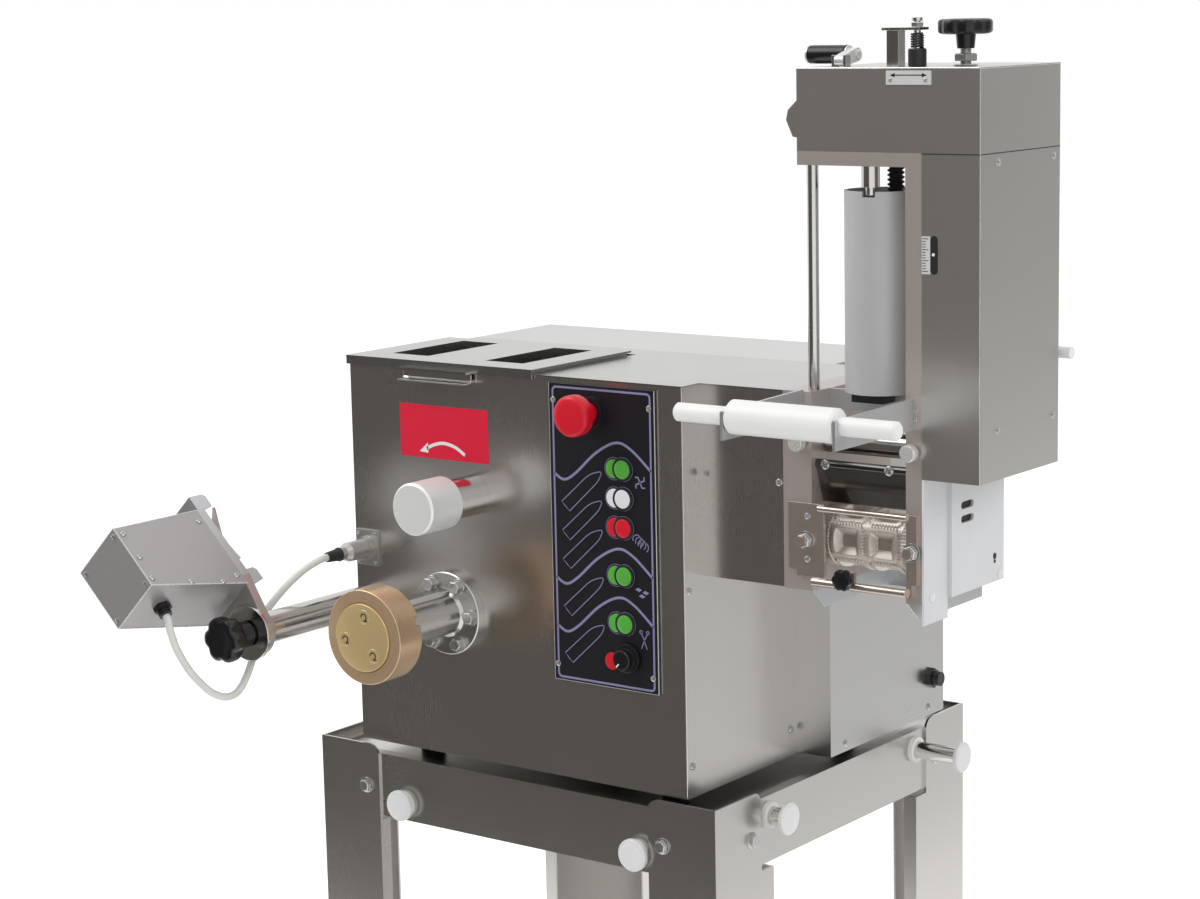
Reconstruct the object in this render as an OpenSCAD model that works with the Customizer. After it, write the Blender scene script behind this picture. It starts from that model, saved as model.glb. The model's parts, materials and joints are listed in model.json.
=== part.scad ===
// Bench-top pasta machine on a sheet-metal stand: a dough mixer over a screw
// extruder with a swing-in rotary cutter, and a ravioli unit with its filling
// tower on the right-hand side.
//
// Millimetres, +Z up. Local frame: x = 0 at the left face of the housing, +X to
// the right, y = 0 at its front face, +Y to the back, z = 0 at its underside.
// placed() moves everything so that the origin lies on the floor, in the middle
// of the whole machine.

/* [Housing] */
// Width of the front housing
body_w = 416; // [400:1:520]
// Height of the housings above their rubber feet
body_h = 400; // [380:1:500]
// Depth of the front housing
front_d = 190; // [176:1:240]
// Extra width of the rear housing on the right
rear_step = 42; // [20:1:60]
// Depth of the housings from front to back
body_d = 415; // [380:1:520]
// Depth of the flat top, which slopes down behind it
top_d = 334; // [280:1:360]
// Height of the upright part of the back
back_h = 300; // [200:1:340]
// Thickness of the deck sheet
deck_t = 1.5; // [1:0.5:3]
// Width of the support box that carries the ravioli unit
support_w = 94; // [70:1:130]
// Set-back of the support box behind the front face
support_y = 28.6; // [10:0.2:50]
// Height of the support box from its underside to the deck
support_h = 185; // [150:1:220]
// Height of the machine's rubber feet
foot_h = 13.5; // [8:0.5:20]
// Radius of the machine's rubber feet
foot_r = 13; // [8:1:14]

/* [Mixer] */
// Width of the mixer lid
lid_w = 242; // [200:1:260]
// Depth of the mixer lid
lid_d = 164; // [120:1:166]
// Inner radius of the mixing trough
trough_r = 112; // [80:1:114]
// Wall of the mixing trough
trough_t = 2; // [1:0.5:4]
// Height of the mixing shaft above the underside of the housing
mix_z = 285; // [275:1:300]
// Radius of the mixing shaft
mix_r = 9; // [6:1:14]
// Gap between the mixing paddles' tips and the trough
paddle_gap = 22; // [12:1:40]
// Width of each pour slot in the lid
slot_w = 48; // [30:1:60]
// Depth of each pour slot in the lid
slot_d = 113; // [60:1:120]
// Radius of the gate knob
gate_r = 26; // [18:1:34]
// Length of the gate knob
gate_len = 47; // [25:1:60]
// Radius of the steel sleeve behind the gate knob
sleeve_r = 20; // [14:1:24]
// Length of the steel sleeve behind the gate knob
sleeve_len = 45; // [20:1:60]

/* [Extruder] */
// Height of the extruder's axis
ext_z = 150; // [120:1:170]
// Distance of the extruder's axis from the left face
ext_x = 126.5; // [115:0.5:150]
// Radius of the barrel
barrel_r = 21; // [16:1:28]
// Radius of the barrel's flange
flange_r = 42.5; // [36:0.5:50]
// Thickness of the barrel's flange
flange_t = 9; // [6:1:14]
// Distance of the back of the ring nut from the housing
nut_y = 100; // [70:1:120]
// Length of the ring nut
nut_len = 33; // [24:1:40]
// Outer radius of the ring nut
nut_r = 47; // [42:1:52]
// Radius of the die's face inside the ring nut
die_r = 29.5; // [28:0.5:36]

/* [Cutter] */
// Distance from the cutter rod's axis to the extruder's axis
swing_r = 110; // [106:1:125]
// Radius of the cutter rod
rod_r = 16; // [10:1:18]
// Gap between the ring nut and the passing knives
knife_gap = 6; // [5:1:15]
// Thickness of the swing bracket
bracket_t = 10; // [6:1:14]
// Width and height of the cutter's motor box
motor_w = 70; // [56:1:76]
// Length of the cutter's motor box
motor_len = 112; // [80:1:140]
// Reach of each knife from the rotor's axis
knife_reach = 34; // [25:1:36]

/* [Ravioli unit] */
// Width of the gap between the side plates
bay_w = 100; // [80:1:140]
// Width of the left side plate
left_plate_w = 31; // [24:1:40]
// Width of the right side plate and of the tower's upright
upright_w = 16.5; // [12:0.5:20]
// Depth of the ravioli unit
unit_d = 141; // [136:1:160]
// Height of the ravioli unit below the deck
unit_h = 186; // [180:1:200]
// Radius of each mould roller
mould_r = 29; // [24:0.2:30]
// Ravioli pockets around a mould roller
pockets_round = 5; // [4:1:6]
// Ravioli pockets along a mould roller
pockets_along = 2; // [2:1:3]
// Side of a ravioli pocket
pocket_w = 25; // [18:1:26]
// Depth of a ravioli pocket
pocket_depth = 7; // [3:1:9]
// Radius of the sheet roller
sheet_r = 12; // [8:1:14]
// Radius of the rolling pin's body
pin_r = 15.5; // [10:0.5:18]
// Radius of the rolling pin's handles
pin_handle_r = 8.5; // [5:0.5:10]
// Length of the rolling pin
pin_len = 230; // [190:1:300]

/* [Tower] */
// Height of the tower's upright above the deck
tower_h = 219.5; // [180:0.5:300]
// Height of the gearbox at the tower's top
head_h = 73; // [50:1:100]
// Depth of the tower
tower_d = 147; // [120:1:170]
// Width of the tower's side cover
cover_w = 58.5; // [40:0.5:80]
// Height of the side cover's foot below the deck
cover_drop = 71; // [40:1:90]
// Outer radius of the filling cylinder
filling_r = 34; // [26:1:38]
// Height of the filling cylinder
filling_h = 184; // [140:1:190]
// Wall of the filling cylinder
filling_t = 3; // [2:0.5:5]

/* [Stand] */
// Height of the stand from the floor to its top
stand_h = 627; // [400:1:800]
// Overhang of the stand on the left of the housing
stand_left = 49; // [40:1:70]
// Overhang of the stand on the right of the front housing
stand_right = 39; // [35:1:70]
// Overhang of the stand in front of the housing
stand_front = 11; // [8:1:40]
// Overhang of the stand behind the housing
stand_back = 48; // [20:1:70]
// Width of each leg's two plates
leg_w = 79; // [60:1:90]
// Width of each leg's side plate below the rails
leg_side_w = 100; // [90:1:120]
// Sheet thickness of the stand
sheet_t = 2.5; // [2:0.5:4]
// Height of the stand's rails
rail_h = 67; // [50:1:90]
// Height of the adjustable feet
level_h = 24; // [12:1:40]
// Radius of the tray rods
tray_r = 9; // [6:0.5:10]
// Length of the tray rods
tray_len = 390; // [320:1:400]
// Radius of the white end caps of the tray rods
cap_r = 16; // [13:1:20]
// How far the front rod on the right-hand side stands out of the stand
side_out_front = 24; // [10:1:60]
// How far the rear rod on the right-hand side stands out of the stand
side_out_rear = 58; // [10:1:80]

/* [Controls] */
// Width of the control panel
panel_w = 125; // [110:1:140]
// Height of the control panel
panel_h = 294; // [260:1:300]
// Thickness of the control panel
panel_t = 3; // [2:0.5:5]
// Radius of the stop button's head
stop_r = 20; // [14:1:22]
// Travel of the stop button
stop_travel = 5; // [3:1:6]

/* [Hidden] */
$fn = 64;

// Gap between curved faces that seat on one another
seat = 0.3;
// Radial clearance of a shaft in its bearing
run = 0.05;
// Clearance kept around what moves
free = 5;

// --- housing and mixer
rear_w = body_w + rear_step;
deck = body_h;
support_x = body_w + support_w;
seam_y = front_d + 13;
shell_h = body_h - deck_t;
lid_t = 2;
lid_lip = 9;
lid_top = body_h + 4.7;
lid_x = -2.2;
lid_y = -3;
lid_wall = 1.5;
hinge_r = 2;
hinge_y = lid_y + lid_d + 4;
hinge_z = lid_top - lid_t - hinge_r + 1;
lid_right = lid_x + lid_w;
trough_x = 120;
trough_y = 6;
trough_back = hinge_y - 9;
slot_y = 30;
slot_x = [32, 155];
slot_wall = 12;
gate_x = 160;
gate_z = 273.5;
knob_gap = 2;
boss_len = 6;
boss_r = mix_r + 5;
paddle_tip = trough_r - paddle_gap;
foot_inset = 39;

// --- extruder and cutter
nut_front = -nut_y - nut_len;
head_r = nut_r - 8.5;
nut_lip = 4;
nut_face_t = 5;
face_recess = 3;
insert_r = 20;
insert_rim = 7;
insert_angles = [80, 190, 311];
rod_x = ext_x - swing_r;
rod_z = ext_z;
knife_t = 2;
knife_back = nut_front - knife_gap;
flap_front = knife_back - knife_t - free;
flap_len = 19;
guard_t = 2;
guard_front = flap_front - flap_len;
bracket_back = guard_front - guard_t;
bracket_front = bracket_back - bracket_t;
motor_front = bracket_front - motor_len;
motor_u0 = 60;
motor_u1 = 130;
motor_root = 36;
bracket_end_r = rod_r + 8;
journal_r = 10;
clamp_len = 8;
clamp_front = bracket_back;
guard_u = [36, 151];
guard_w = 54;
flap_w = 20;
rest_angle = 135;
shaft_r = 6;
knob_back = bracket_front - 22;
knob_len = 22;
journal_end = bracket_front - 6;
gland_y = -258;
gland_u = motor_u0 - (motor_u0 - motor_root) * (gland_y - motor_front) / (bracket_front - motor_front);
gland_tilt = atan((motor_u0 - motor_root) / (bracket_front - motor_front));
star_r = 25;

// --- ravioli unit, all heights from the deck down
unit_x = support_x;
bay_x = unit_x + left_plate_w;
bay_end = bay_x + bay_w;
unit_right = bay_end + upright_w;
unit_y = support_y;
unit_back = unit_y + unit_d;
unit_z = deck - unit_h;
plate_t = 3;
mould_z = deck - 138;
mould_y = unit_y + 8 + mould_r;
mould_back_y = mould_y + 2 * mould_r + 0.6;
axle_r = 8;
sheet_axle_r = 6;
socket_d = 12;
end_gap = 1.5;
pocket_pitch = 37.5;
pocket_slope = 4;
border_h = 1.2;
border_w = 3;
sheet_z = deck - 48;
sheet_y = unit_y + 32;
arm_t = 3;
slit_r = 3.5;
chute_drop = 19;
latch_x = bay_x + 43;
latch_z = deck - 168;
arm_x = [bay_x - 9.5, bay_end + 7];
arm_tip_y = -103;
pin_y = -90;
pin_z = deck - 7;
arm_low_z = deck - 27;

// --- tower
head_z = deck + tower_h + 1.5;
head_top = head_z + head_h;
head_x = unit_x + 18;
tower_right = unit_right + cover_w;
tower_back = unit_y + tower_d;
lintel_h = 12.5;
lintel_z = deck + tower_h - lintel_h;
post_r = 5.6;
post_x = unit_x + 24.5;
post_y = unit_y + 16;
fill_x = bay_x + 53;
fill_y = unit_y + 38;
fill_z = deck;
fill_top = fill_z + filling_h;
lock_x = fill_x + 6;
lock_y = unit_y + 9;
lock_r = 8.3;
lock_tip_r = 4.6;
lock_z = fill_top + 4;
notch_w = 12;
notch_h = 5;
screw_x = fill_x + 15;
screw_r = 8;

peg_y = tower_back + 12;
peg_z = deck + 29;
peg_r = 5.5;
peg_x = tower_right - 24;
peg_out = 7.5;

// --- top of the tower
crank_x = head_x + 38;
crank_y = unit_y + 24;
crank_pivot = head_top + 6;
crank_t = 9;
grip_len = 43;
ear_t = 2.7;
adjust_x = unit_right + 13.7;
adjust_y = unit_y + 54;
clip_x = bay_x + 67;
clip_y = unit_y + 30;
bolt_x = clip_x + 28;

// --- stand
floor_z = -foot_h - stand_h;
sx0 = -stand_left;
sx1 = body_w + stand_right;
sy0 = -stand_front;
sy1 = body_d + stand_back;
leg_top = -2;
rail_top = sheet_t + seat - foot_h;
rail_low = rail_top - rail_h;
flange_w = 12;
leg_lip = 15;
foot_plate = 40;
leg_foot = 22;
leg_flange_h = rail_low - 5 - floor_z - level_h;
rail_front = sy0 + sheet_t;
rail_right = sx1 - sheet_t;
cap_len = 5;
bush_t = 5;
bush_r = 13.5;
guide_r = tray_r + 3;
front_rod_x = [sx0 + 111, sx1 - 94];
front_rod_z = rail_low + 17.5;
side_rod_y = [84, body_d - 52];
side_rod_z = front_rod_z + 2 * guide_r + 6;
guide_len = tray_len + 6;

// --- controls
panel_x = body_w - 30 - panel_w;
panel_z = body_h - 6 - panel_h;
stop_x = panel_x + 52;
stop_z = panel_z + 269;
key_x = panel_x + 87.5;
key_z = [for (h = [216, 187.5, 159, 112, 65]) panel_z + h];
key_r = 9.2;
key_pair = 10.5;
lamp_x = panel_x + 70.5;
lamp_z = panel_z + 26.5;
lamp_r = 8.8;
collar_len = 6;
collar_t = 5;
dial_x = panel_x + 90;
dial_z = panel_z + 32;
dial_r = 15;
dial_len = 16;
dial_gap = 1;
spindle_r = 4;
neck_r = 10;

// Extents of the machine without its cable, which place the origin
extent_left = rod_x - (guard_u[1] + guard_w / 2) * sin(45);
extent_right = tower_right + peg_out;
extent_front = motor_front;
extent_back = sy1;
centre = [(extent_left + extent_right) / 2, (extent_front + extent_back) / 2];

plug_x = 17.5;
plug_z = 205.6;
plug_y = 10;
plug_len = 54;
plug_flange_t = 3;

// Route of the cutter's cable, from the gland down under the rod to the plug
cable_r = 3.8;
cable_points = [
    [-13, -260.5, 179.5], [-10, -261.4, 176.5], [-7.3, -262, 167], [-4.5, -258, 149],
    [-1, -252.5, 134.5], [3, -246, 121.5], [7.5, -238, 110], [11.5, -230, 101],
    [15, -221.5, 95.3], [17.5, -213, 93], [19, -204, 94.2], [19, -195, 99.5],
    [16, -184, 107.8], [11.5, -174, 115], [4.5, -162, 121.5], [-4, -150, 130],
    [-11, -138, 142], [-12, -126, 156.5], [-7.5, -113, 171], [-1.5, -100, 184],
    [7, -87, 196], [15, -76, 203.5], [17.5, -70, 205.6], [17.5, -64.3, 205.6]];

// ---------------------------------------------------------------- helpers

// Moves the machine from its local frame to the origin on the floor
module placed()
    translate([-centre.x, -centre.y, -floor_z]) children();

// Box between two corners
module block(low, high)
    translate(low) cube(high - low);

// Round bars along X, Y and Z
module bar_x(x0, x1, y, z, r)
    translate([x0, y, z]) rotate([0, 90, 0]) cylinder(h = x1 - x0, r = r);
module bar_y(y0, y1, x, z, r)
    translate([x, y1, z]) rotate([90, 0, 0]) cylinder(h = y1 - y0, r = r);
module bar_z(z0, z1, x, y, r)
    translate([x, y, z0]) cylinder(h = z1 - z0, r = r);

// Round form along -Y from the point (x, y, z): profile of [radius, distance]
module turned_y(x, y, z, profile)
    translate([x, y, z]) rotate([90, 0, 0]) rotate_extrude() polygon(profile);

// Plate in the YZ plane between x0 and x1, with its outline in [y, z]
module side_plate(x0, x1, outline)
    translate([x0, 0, 0]) rotate([90, 0, 90]) linear_extrude(x1 - x0) polygon(outline);

// Plate in the XZ plane between y0 and y1, with its outline in [x, z]
module front_plate(y0, y1, outline)
    translate([0, y1, 0]) rotate([90, 0, 0]) linear_extrude(y1 - y0) polygon(outline);

// Star grip along -Y: round body with lobes around its rim
module star_grip(length, r, lobes) {
    rotate([90, 0, 0]) {
        cylinder(h = length, r = r * 0.78);
        for (i = [0:lobes - 1])
            rotate([0, 0, 360 / lobes * i])
                translate([r * 0.72, 0, 0])
                    cylinder(h = length, r = r * 0.28, $fn = 32);
    }
}

// ---------------------------------------------------------------- stand

// Angle section leg with its corner at the origin, opening to +X and +Y
module leg() {
    difference() {
        union() {
            cube([leg_w, sheet_t, stand_h + foot_h + leg_top - level_h]);
            cube([sheet_t, leg_w, stand_h + foot_h + leg_top - level_h]);
            cube([sheet_t, leg_side_w, leg_flange_h]);
            translate([leg_w - sheet_t, 0, 0]) cube([sheet_t, leg_lip, leg_flange_h]);
            translate([0, leg_side_w - sheet_t, 0]) cube([leg_lip, sheet_t, leg_flange_h]);
            cube([foot_plate, foot_plate, sheet_t]);
        }
        for (side = [0, 1])
            mirror([side, -side, 0])
                translate([leg_w, -1, stand_h + foot_h + leg_top - level_h])
                    rotate([-90, 0, 0]) corner_cut(12, sheet_t + 2);
    }
}

// Tool that rounds the outer corner of a plate at the origin
module corner_cut(r, t) {
    difference() {
        translate([-r, -1, 0]) cube([r + 1, r + 1, t]);
        translate([-r, r, -1]) cylinder(h = t + 2, r = r);
    }
}

module stand_legs() placed() color("silver") {
    for (right = [0, 1], back = [0, 1])
        translate([right ? sx1 : sx0, back ? sy1 : sy0, floor_z + level_h])
            mirror([right, 0, 0]) mirror([0, back, 0]) leg();
}

// Rail along X: upright web with its flanges turned to the inside
module front_rail() {
    difference() {
        union() {
            block([sx0 + sheet_t, rail_front, rail_low], [rail_right, rail_front + sheet_t, rail_top]);
            for (z = [rail_low, rail_top - sheet_t])
                block([sx0 + sheet_t, rail_front, z], [rail_right, rail_front + flange_w, z + sheet_t]);
        }
        for (x = front_rod_x)
            bar_y(rail_front - 1, rail_front + sheet_t + 1, x, front_rod_z, tray_r + 1);
    }
}

module stand_rails() placed() color("gray") {
    front_rail();
    translate([0, sy0 + sy1, 0]) mirror([0, 1, 0]) front_rail();
    for (left = [0, 1])
        translate([left ? sx0 + sx1 : 0, 0, 0]) mirror([left, 0, 0])
            difference() {
                union() {
                    block([rail_right - sheet_t, sy0 + sheet_t + flange_w + 1, rail_low],
                        [rail_right, sy1 - sheet_t - flange_w - 1, rail_top]);
                    for (z = [rail_low, rail_top - sheet_t])
                        block([rail_right - flange_w, sy0 + sheet_t + flange_w + 1, z],
                            [rail_right, sy1 - sheet_t - flange_w - 1, z + sheet_t]);
                }
                for (y = side_rod_y)
                    bar_x(rail_right - sheet_t - 1, rail_right + 1, y, side_rod_z, tray_r + 1);
            }
}

// Sheet under the rails' upper flanges that the machine stands on
module stand_top() placed() color("silver")
    block([sx0 + 2 * sheet_t, rail_front + sheet_t, -foot_h - sheet_t],
        [rail_right - sheet_t, sy0 + sy1 - rail_front - sheet_t, -foot_h]);

module leveling_feet() placed() color("dimgray") {
    for (x = [sx0 + leg_foot, sx1 - leg_foot], y = [sy0 + leg_foot, sy1 - leg_foot]) {
        bar_z(floor_z, floor_z + 8, x, y, 18);
        bar_z(floor_z + 7, floor_z + level_h, x, y, 6);
    }
}

// Guide tubes and white bushings that carry the sliding tray rods
module rod_guides() placed() color("whitesmoke") {
    for (x = front_rod_x)
        difference() {
            union() {
                bar_y(rail_front + sheet_t, rail_front + sheet_t + guide_len, x, front_rod_z, guide_r);
                bar_y(rail_front - bush_t, rail_front + sheet_t, x, front_rod_z, tray_r + 0.9);
                bar_y(rail_front - bush_t, rail_front, x, front_rod_z, bush_r);
            }
            bar_y(rail_front - bush_t - 1, rail_front + sheet_t + guide_len - 3, x, front_rod_z,
                tray_r + run);
        }
    for (y = side_rod_y)
        difference() {
            union() {
                bar_x(rail_right - sheet_t - guide_len, rail_right - sheet_t, y, side_rod_z, guide_r);
                bar_x(rail_right - sheet_t, rail_right + bush_t, y, side_rod_z, tray_r + 0.9);
                bar_x(rail_right, rail_right + bush_t, y, side_rod_z, bush_r);
            }
            bar_x(rail_right - sheet_t - guide_len + 3, rail_right + bush_t + 1, y, side_rod_z,
                tray_r + run);
        }
}

// Rod with a rounded white end cap; the cap is at the origin, the rod runs to +Y
module tray_rod() {
    rotate([-90, 0, 0]) rotate_extrude()
        polygon([[0, 0], [cap_r - 2, 0], [cap_r, 2], [cap_r, cap_len], [tray_r, cap_len],
            [tray_r, tray_len], [0, tray_len]]);
}

module tray_rod_front_left() placed() color("silver")
    translate([front_rod_x[0], rail_front - bush_t - cap_len - 1, front_rod_z]) tray_rod();
module tray_rod_front_right() placed() color("silver")
    translate([front_rod_x[1], rail_front - bush_t - cap_len - 1, front_rod_z]) tray_rod();
module tray_rod_side_front() placed() color("silver")
    translate([sx1 + side_out_front, side_rod_y[0], side_rod_z]) rotate([0, 0, 90]) tray_rod();
module tray_rod_side_rear() placed() color("silver")
    translate([sx1 + side_out_rear, side_rod_y[1], side_rod_z]) rotate([0, 0, 90]) tray_rod();

// ---------------------------------------------------------------- housing

module machine_feet() placed() color("black") {
    inset = foot_r + foot_inset;
    for (x = [inset, body_w - inset], y = [inset, body_d - inset])
        bar_z(-foot_h, y > front_d ? 2.8 : 0, x, y, foot_r);
}

// Trough with upright sides over a half-round bottom
module trough(r, y0, y1, top) {
    bar_y(y0, y1, trough_x, mix_z, r);
    block([trough_x - r, y0, mix_z], [trough_x + r, y1, top]);
}

module housing_front() placed() color("darkgray") {
    difference() {
        block([0, 0, 0], [body_w, front_d, shell_h]);
        trough(trough_r + trough_t + seat, trough_y - seat, trough_back + seat, shell_h + 1);
        bar_y(-1, free + stop_travel + 4, stop_x, stop_z, neck_r + seat);
        bar_y(-1, free, dial_x, dial_z, spindle_r);
    }
}

module rear_housing() placed() color("darkgray") {
    side_plate(0, rear_w, [[front_d, 2.8], [body_d, 2.8], [body_d, back_h],
        [top_d, body_h], [seam_y, body_h], [seam_y, shell_h], [front_d, shell_h]]);
}

module support_box() placed() color("darkgray") {
    translate([0, 0, deck - support_h]) linear_extrude(support_h - deck_t)
        polygon([[body_w, support_y], [support_x, support_y], [support_x, seam_y],
            [rear_w, seam_y], [rear_w, front_d], [body_w, front_d]]);
}

// Top sheet around the mixer's lid
module deck_plate() placed() color("silver") {
    translate([0, 0, shell_h]) linear_extrude(deck_t)
        polygon([[lid_right + 1, 0], [body_w, 0], [body_w, support_y],
            [support_x, support_y], [support_x, seam_y], [0, seam_y],
            [0, hinge_y + hinge_r + 1], [lid_right + 1, hinge_y + hinge_r + 1]]);
}

// ---------------------------------------------------------------- mixer

module mixing_tank() placed() color("lightgray") {
    outer = trough_r + trough_t;
    lip = 3;
    boss = boss_len + trough_t;
    difference() {
        union() {
            trough(outer, trough_y, trough_back, shell_h);
            block([trough_x - outer - lip + 1, trough_y - lip, shell_h],
                [trough_x + outer + lip - 1, trough_back + lip, lid_top - lid_t - seat]);
        }
        difference() {
            trough(trough_r, trough_y + trough_t, trough_back - trough_t, lid_top + 1);
            for (y = [trough_y, trough_back - boss])
                bar_y(y, y + boss, trough_x, mix_z, boss_r);
        }
        bar_y(trough_y + trough_t, trough_back - trough_t, trough_x, mix_z, mix_r + run);
    }
}

module mixing_shaft() placed() color("silver") {
    paddles = 4;
    blade = [8, 24, 24];
    y0 = trough_y + trough_t + seat;
    y1 = trough_back - trough_t - seat;
    inner = y0 + boss_len + free;
    span = y1 - boss_len - free - inner;
    bar_y(y0, y1, trough_x, mix_z, mix_r);
    for (i = [0:paddles - 1])
        translate([trough_x, inner + span * (i + 0.5) / paddles, mix_z])
            rotate([0, 45 + 90 * i, 0]) {
                cylinder(h = paddle_tip - 2, r = 5);
                translate([0, 0, paddle_tip - blade.z]) rotate([0, 0, 30])
                    translate([-blade.x / 2, -blade.y / 2, 0]) cube(blade);
            }
}

// Lid with two pour slots, down-turned edges and hinge barrel
module mixer_lid() placed() color("silver") {
    under = lid_top - lid_t;
    low = lid_top - lid_lip;
    grip = [76, 164];
    grip_out = 9;
    difference() {
        union() {
            block([lid_x, lid_y, under], [lid_right, lid_y + lid_d, lid_top]);
            block([lid_x, lid_y, low], [lid_right, lid_y + lid_wall, lid_top]);
            block([lid_x, lid_y, low], [lid_x + lid_wall, lid_y + lid_d, lid_top]);
            for (x = slot_x)
                block([x - lid_wall, slot_y - lid_wall, lid_top - slot_wall],
                    [x + slot_w + lid_wall, slot_y + slot_d + lid_wall, lid_top]);
            bar_x(lid_x + 10, lid_right - 10, hinge_y, hinge_z, hinge_r);
            block([lid_x + 10, lid_y + lid_d - 1, under], [lid_right - 10, hinge_y, under + 1]);
            block([grip[0], lid_y - grip_out, low], [grip[1], lid_y + 0.5, low + 2.5]);
        }
        for (x = slot_x)
            block([x, slot_y, lid_top - slot_wall - 1], [x + slot_w, slot_y + slot_d, lid_top + 1]);
    }
}

module gate_sleeve() placed() color("lightgray") {
    step_r = sleeve_r - 3;
    end = sleeve_len + knob_gap - seat;
    turned_y(gate_x, 0, gate_z, [[0, 0], [sleeve_r, 0], [sleeve_r, sleeve_len],
        [step_r, sleeve_len], [step_r, end], [0, end]]);
}

module gate_knob() placed() color("silver") {
    turned_y(gate_x, -sleeve_len - knob_gap, gate_z, [[0, 0], [gate_r - 1, 0], [gate_r, 1],
        [gate_r, gate_len - 2], [gate_r - 2, gate_len], [0, gate_len]]);
}

// ---------------------------------------------------------------- controls

module control_panel() placed() color("black") {
    key_front = -panel_t - 0.5;
    difference() {
        union() {
            block([panel_x, -panel_t, panel_z], [panel_x + panel_w, 0, panel_z + panel_h]);
            for (z = key_z, x = [key_x - key_pair, key_x])
                bar_y(key_front, 0, x, z, key_r);
            bar_y(key_front, 0, lamp_x, lamp_z, lamp_r);
            bar_y(-panel_t - collar_len, 0, stop_x, stop_z, neck_r + collar_t);
        }
        bar_y(-panel_t - collar_len - 1, 1, stop_x, stop_z, neck_r + seat);
        bar_y(-panel_t - 1, 1, dial_x, dial_z, spindle_r);
    }
}

// Mushroom head on a neck that slides in the panel's collar
module stop_button() placed() color("red") {
    turned_y(stop_x, 4, stop_z, [[0, 0], [neck_r, 0], [neck_r, 27], [stop_r - 3, 28],
        [stop_r, 31], [stop_r, 39], [stop_r - 2, 42], [stop_r - 8, 44], [0, 45]]);
}

module speed_dial() placed() color("black") {
    rim = free - 1 + panel_t + dial_gap;
    turned_y(dial_x, free - 1, dial_z, [[0, 0], [spindle_r - run, 0], [spindle_r - run, rim],
        [dial_r, rim], [dial_r, rim + 3], [dial_r - 3, rim + 5],
        [dial_r - 4, rim + dial_len], [0, rim + dial_len]]);
}

// ---------------------------------------------------------------- extruder

module extruder_barrel() placed() color("lightgray") {
    screw_head_r = 6.5;
    bolt_circle = flange_r - screw_head_r - 2;
    seat_y = nut_y + nut_lip + seat;
    end_y = nut_y + nut_lip + 8;
    turned_y(ext_x, 0, ext_z, [[0, 0], [flange_r, 0], [flange_r, flange_t - 1],
        [flange_r - 1, flange_t], [barrel_r + 3, flange_t], [barrel_r, flange_t + 3],
        [barrel_r, seat_y], [head_r - seat, seat_y], [head_r - seat, end_y], [0, end_y]]);
    for (a = [0:60:300])
        translate([ext_x + bolt_circle * cos(a), -flange_t + 1, ext_z + bolt_circle * sin(a)])
            rotate([90, 0, 0]) cylinder(h = 9, r = screw_head_r, $fn = 6);
    block([ext_x - 6, -nut_y, ext_z + barrel_r - 4], [ext_x + 6, -flange_t, ext_z + barrel_r + 5]);
}

module ring_nut() placed() color("goldenrod") {
    bore = barrel_r + 8;
    notch = [7, 8, 7];
    face = nut_len - nut_face_t;
    difference() {
        turned_y(ext_x, -nut_y, ext_z, [[bore, 0], [nut_r - 2, 0], [nut_r, 2],
            [nut_r, nut_len - 4], [nut_r - 4, nut_len], [die_r + seat, nut_len],
            [die_r + seat, face], [head_r, face], [head_r, nut_lip], [bore, nut_lip]]);
        for (a = [20:90:290])
            translate([ext_x + nut_r * cos(a), -nut_y, ext_z + nut_r * sin(a)])
                rotate([90, a, 0]) translate([1 - notch.x, -notch.y / 2, -1]) cube(notch);
    }
}

// Comma-shaped slot of an insert: an arc with a short tail, cut along Y
module spiral_slot() {
    rotate([90, 0, 0]) {
        rotate_extrude(angle = 270) translate([2.6, 0]) square([1.6, 2]);
        translate([0, -4.2, 0]) cube([5, 1.6, 2]);
    }
}

module die() placed() color("darkkhaki") {
    face = nut_front + face_recess;
    back = nut_y + nut_lip + 8;
    step = -nut_front - nut_face_t - seat - back;
    difference() {
        union() {
            turned_y(ext_x, -back, ext_z, [[0, 0], [head_r - seat, 0], [head_r - seat, step],
                [die_r, step], [die_r, -face - back], [0, -face - back]]);
            for (a = insert_angles)
                bar_y(face - 0.6, face + 1, ext_x + insert_r * cos(a), ext_z + insert_r * sin(a),
                    insert_rim);
        }
        for (a = insert_angles)
            translate([ext_x + insert_r * cos(a), face + 0.8, ext_z + insert_r * sin(a)])
                spiral_slot();
    }
}

// ---------------------------------------------------------------- cutter

// Arm frame: local X runs from the rod's axis to the rotor, local Y stays along
// the rod, with the arm at its rest angle
module arm_frame()
    translate([rod_x, 0, rod_z]) rotate([0, -rest_angle, 0]) children();

module cutter_rod() placed() color("silver") {
    turned_y(rod_x, 0, rod_z, [[0, 0], [rod_r, 0], [rod_r, -clamp_front - clamp_len - seat],
        [journal_r, -clamp_front - clamp_len - seat], [journal_r, -journal_end],
        [0, -journal_end]]);
}

// Swing bracket: a plate with a rounded end on the rod's journal
module cutter_arm() placed() color("silver") {
    arm_frame() difference() {
        union() {
            hull() {
                bar_y(bracket_front, bracket_back, 0, 0, bracket_end_r);
                block([motor_root + 10, bracket_front, -motor_w / 2],
                    [motor_root + 11, bracket_back, motor_w / 2]);
            }
            block([motor_root + 10, bracket_front, -motor_w / 2], [motor_u1, bracket_back, motor_w / 2]);
            bar_y(bracket_back - 1, bracket_back + clamp_len, 0, 0, bracket_end_r - 6);
        }
        bar_y(bracket_front - 1, bracket_back + clamp_len + 1, 0, 0, journal_r + run);
        bar_y(bracket_front - 1, bracket_back + 1, swing_r, 0, shaft_r + run);
    }
}

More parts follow.
